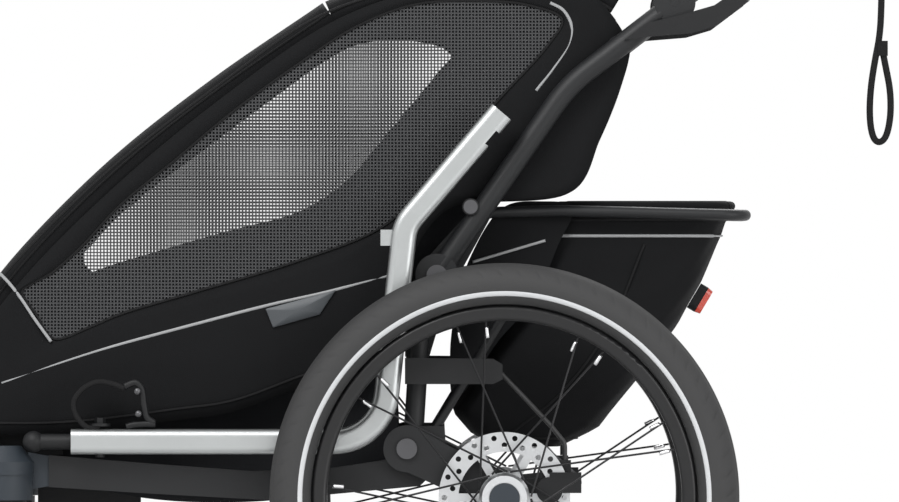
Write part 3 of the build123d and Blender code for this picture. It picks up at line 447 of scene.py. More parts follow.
def mottle_group():
    """Two sizes of noise: slow change of colour and fine grain."""
    group, ins, outs = new_group(
        "mottle",
        [
            ("Vector", "NodeSocketVector", None),
            ("Colour", "NodeSocketColor", (0.1, 0.1, 0.1, 1)),
            ("Change", "NodeSocketFloat", 0.2),
            ("Grain", "NodeSocketFloat", 900.0),
            ("Roughness", "NodeSocketFloat", 0.5),
        ],
        [("Colour", "NodeSocketColor"), ("Roughness", "NodeSocketFloat"), ("Height", "NodeSocketFloat")],
    )
    slow = group.nodes.new("ShaderNodeTexNoise")
    slow.inputs["Scale"].default_value = 14.0
    slow.inputs["Detail"].default_value = 5.0
    fine = group.nodes.new("ShaderNodeTexNoise")
    fine.inputs["Detail"].default_value = 2.0
    for noise in (slow, fine):
        group.links.new(ins.outputs["Vector"], noise.inputs["Vector"])
    group.links.new(ins.outputs["Grain"], fine.inputs["Scale"])
    offset = math_node(group, "SUBTRACT", slow.outputs["Fac"], 0.5)
    swing = math_node(group, "MULTIPLY", offset, ins.outputs["Change"])
    gain = math_node(group, "ADD", math_node(group, "MULTIPLY", swing, 2.0), 1.0)
    scaled = group.nodes.new("ShaderNodeVectorMath")
    scaled.operation = "SCALE"
    group.links.new(ins.outputs["Colour"], scaled.inputs[0])
    group.links.new(gain, scaled.inputs["Scale"])
    group.links.new(scaled.outputs[0], outs.inputs["Colour"])
    drift = math_node(group, "MULTIPLY", swing, 0.5)
    rough = math_node(group, "ADD", ins.outputs["Roughness"], drift, clamp=True)
    group.links.new(rough, outs.inputs["Roughness"])
    group.links.new(fine.outputs["Fac"], outs.inputs["Height"])
    return group


GROUPS = {}
FINISHES = {}


def finish(name, colour, roughness, metallic=0.0, grain=900.0, change=0.2, depth=0.0002, weave=None,
           hole=None, weave_depth=0.0004, coat=0.0, sheen=0.0, specular=0.5, transmission=0.0):
    """A named material: mottled colour and roughness, a grain or weave for its bump, and holes in a net."""
    if name in FINISHES:
        return FINISHES[name]
    if not GROUPS:
        GROUPS.update(weave=weave_group(), mottle=mottle_group())
    mat = bpy.data.materials.new(name)
    mat.use_nodes = True
    tree = mat.node_tree
    bsdf = tree.nodes["Principled BSDF"]
    coords = tree.nodes.new("ShaderNodeTexCoord")
    mottle = tree.nodes.new("ShaderNodeGroup")
    mottle.node_tree = GROUPS["mottle"]
    tree.links.new(coords.outputs["Object"], mottle.inputs["Vector"])
    mottle.inputs["Colour"].default_value = (*colour, 1)
    mottle.inputs["Change"].default_value = change
    mottle.inputs["Grain"].default_value = grain
    mottle.inputs["Roughness"].default_value = roughness
    tree.links.new(mottle.outputs["Roughness"], bsdf.inputs["Roughness"])
    bsdf.inputs["Metallic"].default_value = metallic
    bsdf.inputs["Coat Weight"].default_value = coat
    bsdf.inputs["Sheen Weight"].default_value = sheen
    bsdf.inputs["Specular IOR Level"].default_value = specular
    bsdf.inputs["Transmission Weight"].default_value = transmission
    bump = tree.nodes.new("ShaderNodeBump")
    bump.inputs["Strength"].default_value = 1.0
    bump.inputs["Distance"].default_value = depth
    tree.links.new(mottle.outputs["Height"], bump.inputs["Height"])
    shade = mottle.outputs["Colour"]
    if weave:
        flat = tree.nodes.new("ShaderNodeUVMap")
        flat.uv_map = "cloth"
        net = tree.nodes.new("ShaderNodeGroup")
        net.node_tree = GROUPS["weave"]
        net.inputs["Pitch"].default_value = weave
        net.inputs["Hole"].default_value = hole or 0.5
        tree.links.new(flat.outputs["UV"], net.inputs["Vector"])
        over = tree.nodes.new("ShaderNodeBump")
        over.inputs["Distance"].default_value = weave_depth
        tree.links.new(net.outputs["Height"], over.inputs["Height"])
        tree.links.new(bump.outputs["Normal"], over.inputs["Normal"])
        bump = over
        # Colour scaled from 0.6 to 1.2 by thread height: painted shade in the dips between threads and painted
        # highlight on their crests.
        weave_shade = tree.nodes.new("ShaderNodeVectorMath")
        weave_shade.operation = "SCALE"
        tree.links.new(shade, weave_shade.inputs[0])
        gain = math_node(tree, "ADD", math_node(tree, "MULTIPLY", net.outputs["Height"], 0.6), 0.6)
        tree.links.new(gain, weave_shade.inputs["Scale"])
        shade = weave_shade.outputs[0]
        if hole:
            tree.links.new(net.outputs["Threads"], bsdf.inputs["Alpha"])
    tree.links.new(shade, bsdf.inputs["Base Color"])
    tree.links.new(bump.outputs["Normal"], bsdf.inputs["Normal"])
    FINISHES[name] = mat
    return mat


def canvas():
    """Black coated canvas of the cover, panels and bag."""
    return finish("black_canvas", (0.0062, 0.0064, 0.007), 0.82, weave=0.0011,
                  weave_depth=0.00018, change=0.25, sheen=0.01, specular=0.12)


def net_cloth():
    """Open net of the windows."""
    return finish("window_net", (0.034, 0.035, 0.037), 0.7, weave=0.0036, hole=0.55,
                  weave_depth=0.0004, change=0.1)


def lining():
    """Woven lining of the cabin."""
    return finish("cabin_lining", (0.012, 0.0125, 0.014), 0.88, weave=0.0014,
                  weave_depth=0.0002, sheen=0.02, specular=0.15)


def knit():
    """Padded knit of the seat."""
    return finish("seat_knit", (0.02, 0.021, 0.024), 0.9, weave=0.002, weave_depth=0.0004, sheen=0.1)


def webbing():
    """Ribbed webbing of straps."""
    return finish("black_webbing", (0.007, 0.007, 0.0075), 0.75, specular=0.2, weave=0.0016,
                  weave_depth=0.0005, change=0.15)


def piping_cloth():
    """Light reflective piping."""
    return finish("reflective_piping", (0.27, 0.275, 0.28), 0.45, weave=0.0009,
                  weave_depth=0.0001, change=0.1)


def tyre_rubber():
    """Matt tyre rubber."""
    return finish("tyre_rubber", (0.023, 0.023, 0.0235), 0.72, grain=1400.0,
                  change=0.2, depth=0.0003, specular=0.4)


NODE_FINISHES = {
    "frame_alloy": ("powder_coat", (0.010, 0.0105, 0.0115), 0.45,
                    {"specular": 0.3, "grain": 2200.0, "depth": 0.00012, "change": 0.15}),
    "arm_alloy": ("anodised_satin", (0.43, 0.445, 0.445), 0.36,
                  {"metallic": 0.9, "grain": 1800.0, "depth": 0.00006, "change": 0.06}),
    "black_plastic": ("moulded_black", (0.008, 0.0083, 0.009), 0.5,
                      {"specular": 0.25, "grain": 1500.0, "depth": 0.0002}),
    "slate_plastic": ("moulded_slate", (0.022, 0.028, 0.035), 0.5,
                      {"specular": 0.3, "grain": 1500.0, "depth": 0.0002}),
    "tyre_rubber": ("tyre_rubber", (0.023, 0.023, 0.0235), 0.72, {"grain": 1400.0, "depth": 0.0003}),
    "rim_black": ("rim_black", (0.007, 0.007, 0.0075), 0.4,
                  {"specular": 0.3, "grain": 700.0, "depth": 0.00005, "coat": 0.15}),
    "spoke_black": ("spoke_black", (0.015, 0.015, 0.016), 0.4, {"metallic": 0.6, "depth": 0.00003}),
    "hub_steel": ("turned_steel", (0.58, 0.59, 0.60), 0.34,
                  {"metallic": 1.0, "grain": 1200.0, "depth": 0.00005, "change": 0.08}),
    "cover_fabric": ("black_canvas_plain", (0.0062, 0.0064, 0.007), 0.82,
                     {"specular": 0.12, "grain": 1100.0, "depth": 0.0004}),
    "mesh_window": ("net_plain", (0.03, 0.03, 0.032), 0.8, {}),
    "liner_fabric": ("lining_plain", (0.022, 0.023, 0.026), 0.85, {"grain": 1100.0, "depth": 0.0004}),
    "seat_fabric": ("knit_plain", (0.02, 0.021, 0.024), 0.9, {"grain": 900.0, "depth": 0.0005}),
    "webbing": ("webbing_plain", (0.012, 0.012, 0.013), 0.75, {"grain": 1100.0, "depth": 0.0004}),
    "grip_foam": ("grip_foam", (0.014, 0.014, 0.0145), 0.85, {"grain": 1600.0, "depth": 0.0006}),
    "lens_red": ("lens_red", (0.62, 0.045, 0.015), 0.22, {"coat": 0.5, "change": 0.3, "depth": 0.00005}),
    "screw_steel": ("dark_steel", (0.10, 0.10, 0.105), 0.4, {"metallic": 0.9, "depth": 0.00005}),
    "cable_black": ("cable_black", (0.01, 0.01, 0.0105), 0.45, {"depth": 0.00005}),
}


def finish_nodes():
    """Gives each packed node the finish of its slot."""
    slots = {part["node"]: part["material_slot"] for part in frame["record"]["subparts"]}
    for node, obj in frame["nodes"].items():
        name, colour, roughness, more = NODE_FINISHES[slots[node]]
        obj.data.materials.clear()
        obj.data.materials.append(finish(name, colour, roughness, **more))


# ---- pieces -----------------------------------------------------------------------------------------
def planar_map(piece):
    """Replaces the map by place along X and height, for cloth that hangs beside the cabin."""
    mesh = piece.data
    co = np.empty(len(mesh.vertices) * 3, np.float32)
    mesh.vertices.foreach_get("co", co)
    loops = np.empty(len(mesh.loops), np.int32)
    mesh.loops.foreach_get("vertex_index", loops)
    flat = co.reshape(-1, 3)[loops][:, [0, 2]]
    mesh.uv_layers["cloth"].data.foreach_set("uv", flat.reshape(-1))
    return piece


def band(inner, outer, y, bulge, sign, rows=9):
    """Cloth between two closed outlines: straight lines join them, and the cloth stands proud in the
    middle by a half sine of the bulge."""
    s = np.linspace(0, 1, rows)[:, None]
    x = inner[None, :, 0] * (1 - s) + outer[None, :, 0] * s
    z = inner[None, :, 1] * (1 - s) + outer[None, :, 1] * s
    return place(x, sign * (y + bulge * np.sin(np.pi * s) + 0 * x), z)


def matched(outline, centre, count):
    """Points of a closed outline at even angles about a centre, so that two outlines match."""
    dense = smooth(outline, 1600, closed=True)
    angle = np.unwrap(np.arctan2(dense[:, 1] - centre[1], dense[:, 0] - centre[0]))
    angle = np.mod(angle, 2 * np.pi)
    order = np.argsort(angle)
    even = np.linspace(0, 2 * np.pi, count, endpoint=False)
    at, found = angle[order], dense[order]
    return np.stack([np.interp(even, at, found[:, k], period=2 * np.pi) for k in (0, 1)], axis=-1)


def fan(outline, y, bulge, sign, centre, rows=14):
    """Cloth inside a closed outline: rings that shrink to the centre, bulged as 1 - r squared."""
    r = np.linspace(1, 0, rows)[:, None]
    x = centre[0] + r * (outline[None, :, 0] - centre[0])
    z = centre[1] + r * (outline[None, :, 1] - centre[1])
    return place(x, sign * (y + bulge * (1 - r**2) + 0 * x), z)


def build_side_cloth():
    """Side panels, net windows, lining wings, piping and badge, on both sides."""
    centre = (-190.0, 590.0)
    count = 720
    window = matched(WINDOW, centre, count)
    panel = matched(PANEL, centre, count)
    y = PANEL_Y - 0.0012
    grids = [band(window, panel, y, 0.0035, sign) for sign in SIDES.values()]
    piece = planar_map(add_mesh("side_cloth", grids, wrap_v=True))
    finish_piece(piece, "chassis", canvas(), "cover_fabric", ("side_panels",), thickness=0.0012)
    grids = [fan(window, y - 0.0004, 0.002, sign, centre) for sign in SIDES.values()]
    piece = planar_map(outward(add_mesh("window_net", grids, wrap_v=True)))
    finish_piece(piece, "chassis", net_cloth(), "mesh_window", ("side_windows",))
    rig.sheet(piece, **pair_cut(window), held="stretched", rests_on=["side_panels"])
    mid = (-150.0, 470.0)
    liner = matched(LINER, mid, 480)
    grids = [fan(liner, LINER_Y - 0.003, 0.001, sign, mid, rows=20) for sign in SIDES.values()]
    piece = planar_map(outward(add_mesh("seat_lining", grids, wrap_v=True)))
    finish_piece(piece, "chassis", lining(), "liner_fabric", ("seat_liner",), thickness=0.003)
    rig.sheet(piece, **pair_cut(liner), held="stretched", rests_on=["rear_sling"])
    shade = matched(SHADE, centre, count)
    grids = [band(shade, window, y - 0.0052, 0.0004, sign, rows=4) for sign in SIDES.values()]
    piece = planar_map(add_mesh("window_shade", grids, wrap_v=True))
    finish_piece(piece, "chassis", lining(), "liner_fabric")
    build_gussets()
    build_piping(window)


def build_gussets():
    """Cloth wings that close the gap between the rear uprights and the cargo bag."""
    mid = (5.0, 490.0)
    wing = matched(GUSSET, mid, 300)
    y = BAG_HALF + 0.0042
    grids = [fan(wing, y, 0.0006, sign, mid, rows=12) for sign in SIDES.values()]
    piece = planar_map(outward(add_mesh("rear_gussets", grids, wrap_v=True)))
    finish_piece(piece, "chassis", canvas(), "cover_fabric")
    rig.sheet(piece, **pair_cut(wing), held="stretched", rests_on=["cargo_bag_cloth"])
    x, z = np.linspace(-34, 44, 20), np.linspace(501, 524, 20)
    lines = [place(x, sign * (y + 0.0016), z) for sign in SIDES.values()]
    piece = tube("gusset_piping", lines, PIPING_WIDTH, 0.003, count=8)
    finish_piece(piece, "chassis", piping_cloth(), "cover_fabric")


def pair_cut(outline):
    """Flat size and area in metres of two equal cuts of an outline, laid one above the other."""
    x, z = outline[:, 0] * MM, outline[:, 1] * MM
    area = float(abs(np.dot(x, np.roll(z, -1)) - np.dot(z, np.roll(x, -1))))
    return {"flat": (float(np.ptp(x)), 2 * float(np.ptp(z))), "area": area}


def build_piping(window):
    """Reflective lines on the side cloth, the seam round each window and the blank badge."""
    lines = []
    for sign in SIDES.values():
        for line in (LOW_PIPING, FRONT_PIPING, REAR_PIPING):
            p = smooth(line, 60)
            lines.append(place(p[:, 0], sign * (PANEL_Y + 0.0012), p[:, 1]))
    tube_piece = tube("reflective_lines", lines, PIPING_WIDTH, 0.0034)
    finish_piece(tube_piece, "chassis", piping_cloth(), "cover_fabric")
    seams = []
    for sign in SIDES.values():
        ring = np.vstack([window, window[:1]])
        seams.append(place(ring[:, 0], sign * (PANEL_Y - 0.0004), ring[:, 1]))
        for line in (UPPER_SEAM, LOWER_SEAM):
            p = smooth(line, 80)
            seams.append(place(p[:, 0], sign * (PANEL_Y + 0.0006), p[:, 1]))
    piece = tube("panel_seams", seams, 0.0016, 0.0028, count=8)
    finish_piece(piece, "chassis", webbing(), "cover_fabric")
    corners = np.array(BADGE, float)
    grids = []
    for sign in SIDES.values():
        turned = np.roll(corners, -1, axis=0)
        edge = np.concatenate([np.linspace(a, b, 12, endpoint=False) for a, b in zip(corners, turned)])
        core = edge.mean(0)
        shrink = np.array([0.0, 1.0, 1.0, 0.97, 0.0])[:, None]
        lift = np.array([0.0004, 0.0004, 0.0018, 0.0024, 0.0024])[:, None]
        x = core[0] + shrink * (edge[None, :, 0] - core[0])
        z = core[1] + shrink * (edge[None, :, 1] - core[1])
        grids.append(place(x, sign * (PANEL_Y + 0.0022 + lift + 0 * x), z))
    badge = outward(add_mesh("blank_badge", grids, wrap_v=True))
    slate = finish("badge_slate", (0.05, 0.056, 0.062), 0.45, grain=1500.0)
    finish_piece(badge, "chassis", slate, "black_plastic")


def hood_section(width, depth, crown):
    """Section of the hood across the cabin, as (across, inwards) fractions from hem to hem: straight
    skirts, rounded shoulders from a superellipse, and a slight crown."""
    t = np.linspace(0, np.pi, 61)
    across = -np.sign(np.cos(t)) * np.abs(np.cos(t)) ** 0.16 * width
    inwards = depth * (1 - np.abs(np.sin(t)) ** 0.42)
    rise = crown * (1 - (across / width) ** 2)
    return across, inwards - rise


def hood(name, points, body, node, thickness=0.0012):
    """Roof cloth: the section carried along the roof line, square to it."""
    line = smooth(points, 90)
    slope = np.gradient(line, axis=0)
    slope /= np.linalg.norm(slope, axis=1, keepdims=True)
    across, inwards = hood_section(COVER_HALF - 0.0005, 33.0, -1.5)
    x = line[:, None, 0] + slope[:, None, 1] * inwards[None]
    z = line[:, None, 1] - slope[:, None, 0] * inwards[None]
    piece = add_mesh(name, place(x, across[None] + 0 * x, z))
    finish_piece(piece, body, canvas(), "cover_fabric", (node,), thickness=thickness)
    return line, slope


def build_hood():
    """Front cover and canopy, with a hem and a seam along each skirt and a hem across each end."""
    front = ROOF[: COVER_SPLIT + 1]
    line, slope = hood("cover_cloth", front, "front_cover", "front_cover")
    rear = smooth(ROOF, 400)
    start = np.argmin(np.linalg.norm(rear - np.array(ROOF[COVER_SPLIT]), axis=1)) + 1
    back_line, back_slope = hood("canopy_cloth", rear[start::12], "chassis", "roof_canopy")
    parts = (("cover", "front_cover", line, slope), ("canopy", "chassis", back_line, back_slope))
    for label, body, run, lean in parts:
        hems, seams = [], []
        for sign in SIDES.values():
            for depth, store in ((32.0, hems), (14.0, seams)):
                x, z = run[:, 0] + lean[:, 1] * depth, run[:, 1] - lean[:, 0] * depth
                store.append(place(x, sign * (COVER_HALF - 0.0002), z))
        piece = tube(f"{label}_hem", hems, PIPING_WIDTH, 0.004, count=8)
        finish_piece(piece, body, webbing(), "cover_fabric")
        piece = tube(f"{label}_seam", seams, 0.0012, 0.0022, count=8)
        finish_piece(piece, body, webbing(), "cover_fabric")
    ends = []
    for index, run, lean in ((4, line, slope), (-4, back_line, back_slope)):
        across = np.linspace(-COVER_HALF + 0.02, COVER_HALF - 0.02, 40)
        x, z = run[index, 0] - lean[index, 1] * 0.4, run[index, 1] + lean[index, 0] * 0.4
        ends.append(place(x, across, z))
    finish_piece(tube("cover_front_hem", ends[:1], 0.006, 0.003), "front_cover", webbing(), "cover_fabric")
    finish_piece(tube("canopy_rear_hem", ends[1:], 0.006, 0.003), "chassis", webbing(), "cover_fabric")


# ---- tyres --------------------------------------------------------------------------------------
def build_tyres():
    """Tyres with a round tread cut by short sipes, and light reflective rings on both walls."""
    turns, count = 720, 49
    a = np.linspace(0, 2 * np.pi, turns, endpoint=False)[:, None]
    t = np.linspace(-2.62, 2.62, count)[None, :]
    core = TYRE_R - TYRE_HALF
    phase = np.mod(a / (2 * np.pi) * SIPES + 0.9 * np.abs(t), 1.0)
    shoulder = np.exp(-(((np.abs(t) - 0.95) / 0.26) ** 2))
    groove = shoulder * (phase < 0.17) * 0.0012 + 0.0007 * np.exp(-(((np.abs(t) - 0.32) / 0.04) ** 2))
    radius = TYRE_HALF - 0.0002 - groove
    radius = radius + 0.0002 * np.exp(-((t / 0.3) ** 2))
    wall = core + radius * np.cos(t)
    across = radius * np.sin(t)
    for label, sign in SIDES.items():
        x = AXLE_X + wall * np.cos(a)
        z = TYRE_R + wall * np.sin(a)
        grid = np.stack([x, sign * WHEEL_Y + across + 0 * x, z], axis=-1)
        piece = outward(add_mesh(f"tyre_{label}_tread", grid, wrap_u=True, wrap_v=True), 1e-6)
        finish_piece(piece, f"wheel_{label}", tyre_rubber(), "tyre_rubber", (f"tyre_{label}",))
        rings = []
        for face in (-1.0, 1.0):
            u = np.linspace(0, 2 * np.pi, 9)[:-1]
            lift = 0.0006
            base = np.sqrt((TYRE_HALF - 0.0002) ** 2 - (RING_R - core) ** 2)
            r = RING_R + RING_HALF * np.cos(u)[None, :]
            slant = -(r - RING_R) * (RING_R - core) / base
            y = sign * WHEEL_Y + face * (base + slant + lift * np.sin(u)[None, :])
            b = np.linspace(0, 2 * np.pi, 240, endpoint=False)[:, None]
            rings.append(np.stack([AXLE_X + r * np.cos(b), y + 0 * b, TYRE_R + r * np.sin(b)], axis=-1))
        piece = outward(add_mesh(f"tyre_{label}_ring", rings, wrap_u=True, wrap_v=True), 1e-6)
        ring_cloth = finish("tyre_ring", (0.50, 0.51, 0.52), 0.5, grain=1500.0, change=0.1, depth=0.0001)
        finish_piece(piece, f"wheel_{label}", ring_cloth, "tyre_rubber")
        build_nipples(label, sign)


def spoke_line(r, a, sign):
    """Points of one wheel's middle plane at the radii r, along the direction a."""
    return np.stack([AXLE_X + r * math.cos(a), sign * WHEEL_Y + 0 * r, TYRE_R + r * math.sin(a)], -1)


def build_nipples(label, sign):
    """Spoke nipples and the tyre valve, as small turned pieces along each spoke's outer end."""
    low = float(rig.box(f"rim_{label}")[0][2])
    rim_r = TYRE_R - low - 0.0222
    paths = []
    for k in range(SPOKES):
        a = math.radians(40 * (k // 2) + 20.75 + (4.75 if k % 2 else -4.75))
        r = np.linspace(rim_r - 0.012, rim_r, 5)
        paths.append(spoke_line(r, a, sign))
    piece = tube(f"nipples_{label}", paths, 0.0042, count=8)
    silver = finish("nipple_silver", (0.7, 0.7, 0.71), 0.3, metallic=1.0, depth=0.00003)
    finish_piece(piece, f"wheel_{label}", silver, "hub_steel")
    a = math.radians(-12)
    r = np.linspace(rim_r - 0.034, rim_r, 8)
    piece = tube(f"valve_{label}", [spoke_line(r, a, sign)], 0.006, count=12)
    finish_piece(piece, f"wheel_{label}", tyre_rubber(), "tyre_rubber")


# ---- cargo bag --------------------------------------------------------------------------------------
BAG_REAR = [
    (60, 303), (102, 323), (144, 375), (187, 434), (213, 479), (234, 529), (238, 543), (248, 556), (243, 564),
]
BAG_FRONT = [
    (-4, 303), (-34, 315), (-57, 341), (-20, 400), (10, 450), (36, 520), (44, 548), (58, 561), (64, 566),
]


def bag_ring(height, inset, sag):
    """Rounded rectangle round the bag at one height: its front and rear places come from the two side
    profiles, and shallow sine waves fold its walls."""
    rear, front = np.array(BAG_REAR, float), np.array(BAG_FRONT, float)
    x1 = np.interp(height, rear[:, 1], rear[:, 0]) - inset
    x0 = np.interp(height, front[:, 1], front[:, 0]) + inset
    half = BAG_HALF / MM - 4 - inset
    a = np.linspace(0, 2 * np.pi, 160, endpoint=False)
    power = 0.28
    c = np.sign(np.cos(a)) * np.abs(np.cos(a)) ** power
    s = np.sign(np.sin(a)) * np.abs(np.sin(a)) ** power
    fold = 1 + sag * (0.004 * np.sin(5 * a + height * 0.05) + 0.003 * np.sin(11 * a - height * 0.11))
    x = (x0 + x1) / 2 + c * (x1 - x0) / 2 * fold
    y = s * half * fold
    return place(x, y * MM, height + 0 * x)


def build_bag():
    """Cargo bag as one open tub of cloth with a rolled rim, piping and seams."""
    outer = np.concatenate([[303.5, 304.5, 307], np.linspace(312, 556, 40), [560, 564]])
    rings = [bag_ring(h, 1.2, 1.0) for h in outer]
    rings += [bag_ring(566.5, 4.0, 0.4), bag_ring(566.5, 8.0, 0.4), bag_ring(563, 10.5, 0.4)]
    rings += [bag_ring(h, 6.5, 0.8) for h in np.linspace(556, 330, 30)] + [bag_ring(322, 16.0, 0.5)]
    bottom, inner = rings[0].mean(0), rings[-1].mean(0)
    grid = np.stack([np.repeat(bottom[None], 160, 0)] + rings + [np.repeat(inner[None], 160, 0)])
    piece = outward(add_mesh("cargo_bag_cloth", grid, wrap_v=True))
    finish_piece(piece, "cargo_bag", canvas(), "cover_fabric", ("cargo_bag",))
    rolls = []
    lip = bag_ring(561, 1.5, 0.6)
    rolls.append(np.vstack([lip, lip[:2]]))
    finish_piece(tube("bag_rolled_rim", rolls, 0.010, 0.010, count=14), "cargo_bag", canvas(), "cover_fabric")
    lines = []
    low = bag_ring(529, 0.4, 1.0)
    lines.append(np.vstack([low, low[:2]]))
    piece = tube("bag_piping", lines, PIPING_WIDTH, 0.0034, count=8)
    finish_piece(piece, "cargo_bag", piping_cloth(), "cover_fabric")
    seams = []
    for height in (546, 312):
        ring = bag_ring(height, 0.6, 1.0)
        seams.append(np.vstack([ring, ring[:2]]))
    for sign in SIDES.values():
        p = smooth([(8, 318), (60, 360), (112, 430), (150, 520)], 60)
        seams.append(place(p[:, 0], sign * (BAG_HALF - 0.0042), p[:, 1]))
    finish_piece(tube("bag_seams", seams, 0.0016, 0.0026, count=8), "cargo_bag", webbing(), "cover_fabric")


# ---- seat -------------------------------------------------------------------------------------------
def pillow(name, profile, half, channels, crown, pull):
    """A crowned pad: a side profile carried across the seat. The profile shrinks towards both ends as a
    superellipse, its sides pull in between the corners, and sewn channels are narrow dips."""
    outline = smooth(profile, 200, closed=True)
    centre = outline.mean(0)
    v = np.linspace(-1, 1, 121)[:, None]
    keep = (1 - np.abs(v) ** 7) ** (1 / 7)
    dips = sum(np.exp(-(((v - c) / 0.018) ** 2)) for c in channels)
    size = keep * (1 - crown * (np.abs(v) ** 2)) - 0.03 * dips
    x = centre[0] + (outline[None, :, 0] - centre[0]) * size
    z = centre[1] + (outline[None, :, 1] - centre[1]) * size
    along = np.linspace(0, 2 * np.pi, outline.shape[0], endpoint=False)[None, :]
    y = v * half * (1 - pull * (0.5 - 0.5 * np.cos(2 * along)) * np.abs(v))
    return outward(add_mesh(name, place(x, y, z), wrap_v=True))


def build_seat():
    """Seat cushion, reclining back, rear sling, shoulder straps with pads."""
    seat = [
        (-330, 279), (-134, 279), (-127, 330), (-147, 386), (-230, 391), (-318, 394), (-343, 380),
        (-344, 320),
    ]
    half = float(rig.box("seat_cushion")[1][1]) - 0.002
    piece = pillow("seat_pad", seat, half, (-0.5, 0.0, 0.5), 0.05, 0.01)
    finish_piece(piece, "chassis", knit(), "seat_fabric", ("seat_cushion",))
    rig.padded(piece, fill=0.8)
    back = [
        (-171, 404), (-136, 399), (-113, 426), (-57, 530), (32, 730), (4, 736), (-19, 731), (-110, 544),
        (-148, 460),
    ]
    piece = pillow("back_pad", back, half - 0.006, (-0.55, 0.55), 0.04, 0.01)
    finish_piece(piece, "seat_back", knit(), "seat_fabric", ("seat_back",))
    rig.padded(piece, fill=0.7)
    p = smooth([(-110, 424.5), (-80, 478), (-54, 530), (-10, 629), (35.4, 732)], 60)
    across = np.linspace(-LINER_Y + 0.0055, LINER_Y - 0.0055, 60)[None, :]
    sag = 2.0 * np.cos(across / LINER_Y * np.pi / 2)
    grid = place(p[:, None, 0] + sag * 0.5, across + 0 * p[:, None, 0], p[:, None, 1])
    piece = add_mesh("rear_sling", grid, flip=True)
    finish_piece(piece, "chassis", canvas(), "cover_fabric", ("back_panel",), thickness=0.0015)
    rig.sheet(piece, flat=(0.335, 0.345), held="stretched", rests_on=["seat_lining"])
    straps, pads = [], []
    for y in (-0.062, 0.062):
        s = smooth([(-113.6, 543), (-88, 597), (-60, 656), (-27, 725)], 40)
        straps.append(place(s[:, 0] - 1.0, y, s[:, 1] + 0.4))
        pads.append(place(s[12:30, 0] - 7, y, s[12:30, 1] + 3))
    piece = tube("shoulder_straps", straps, 0.025, 0.002, power=6, count=20)
    finish_piece(piece, "seat_back", webbing(), "webbing", ("harness",))
    piece = tube("shoulder_pads", pads, 0.044, 0.011, power=3.5, count=24)
    finish_piece(piece, "seat_back", knit(), "webbing", smooth_levels=1)


# ---- straps -----------------------------------------------------------------------------------------
def build_straps():
    """The hanging wrist strap, declared as a flat cord, and the arm's safety strap with its clip."""
    y = STRAP_Y
    route = place([p[0] for p in STRAP_ROUTE], y, [p[1] for p in STRAP_ROUTE])
    line = spline_points("strap_route", route, 10)
    width = STRAP_WIDTH * MM
    piece = tube("wrist_strap_webbing", [line], width, 0.0070, power=5, count=20)
    finish_piece(piece, "push_bar", webbing(), "webbing", ("wrist_strap",))
    length = float(np.linalg.norm(np.diff(line, axis=0), axis=1).sum())
    keeper = tube("strap_keeper", [place(405, y, [722, 722.1, 737.9, 738])], 0.023, 0.0125, power=5, count=20)
    finish_piece(keeper, "push_bar", webbing(), "webbing")
    a = np.linspace(-0.62 * np.pi, 1.62 * np.pi, 60)
    bar = middle("bar_grip")
    wrap = np.stack([bar[0] + 0.0128 * np.cos(a), y + 0 * a, bar[2] + 0.0128 * np.sin(a)], -1)
    ring = tube("strap_wrap", [wrap], width, 0.0024, power=7, count=20)
    finish_piece(ring, "push_bar", webbing(), "webbing")
    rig.cord(piece, exit=tuple(line[0]), length=length, diameter=width, far_end="object", stiffness="limp",
            lay="hanging", path=[tuple(q) for q in line], with_pieces=[keeper])
    build_safety_strap()


def spline_points(name, route, resolution):
    """Points along the NURBS line of a route."""
    curve = bpy.data.curves.new(name, "CURVE")
    curve.dimensions = "3D"
    spline = curve.splines.new("NURBS")
    spline.points.add(len(route) - 1)
    spline.points.foreach_set("co", np.hstack([route, np.ones((len(route), 1))]).reshape(-1))
    spline.order_u, spline.use_endpoint_u, spline.resolution_u = 3, True, resolution
    holder = bpy.data.objects.new(name, curve)
    bpy.context.scene.collection.objects.link(holder)
    mesh = bpy.data.meshes.new_from_object(holder)
    points = np.array([v.co for v in mesh.vertices], float)
    bpy.data.objects.remove(holder)
    bpy.data.meshes.remove(mesh)
    bpy.data.curves.remove(curve)
    return points


def build_safety_strap():
    """Short strap looped from the arm's bolt to its snap clip, with the clip's plates and rivets."""
    y = float(middle("safety_strap")[1])
    low = float(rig.box("safety_strap")[0][2]) / MM
    loop = smooth([(-431, low + 1.3), (-444, low + 1.6), (-455, low + 12), (-459, low + 28), (-450, low + 42),
                   (-434, low + 49.8), (-418, low + 48), (-405, low + 43)], 70)
    strap = place(loop[:, 0], y, loop[:, 1])
    piece = tube("safety_webbing", [strap], 0.017, 0.0058, power=5, count=16)
    finish_piece(piece, "towing_arm", webbing(), "webbing", ("safety_strap",))
    plate = smooth([(-405, low + 45), (-393, low + 49), (-387, low + 43), (-384, low + 25), (-381, low + 12),
                    (-373, low + 6)], 40)
    base = smooth([(-403, low + 2), (-396, low + 4), (-384, low + 5), (-372, low + 5)], 30)
    parts = [place(plate[:, 0], y, plate[:, 1]), place(base[:, 0], y, base[:, 1])]
    piece = tube("strap_clip", parts, 0.017, 0.0072, power=4, count=20)
    moulded = finish("moulded_black", *NODE_FINISHES["black_plastic"][1:3], grain=1500.0)
    finish_piece(piece, "towing_arm", moulded, "black_plastic")
    rivets = []
    for x, z in ((-390, low + 16), (-391, low + 40)):
        run = np.linspace(-0.0115, 0.0115, 4)
        rivets.append(np.stack([AXLE_X + x * MM + 0 * run, y + run, z * MM + 0 * run], -1))
    piece = tube("strap_rivets", rivets, 0.007, count=14)
    steel = finish("dark_steel", *NODE_FINISHES["screw_steel"][1:3], metallic=0.9)
    finish_piece(piece, "towing_arm", steel, "screw_steel")


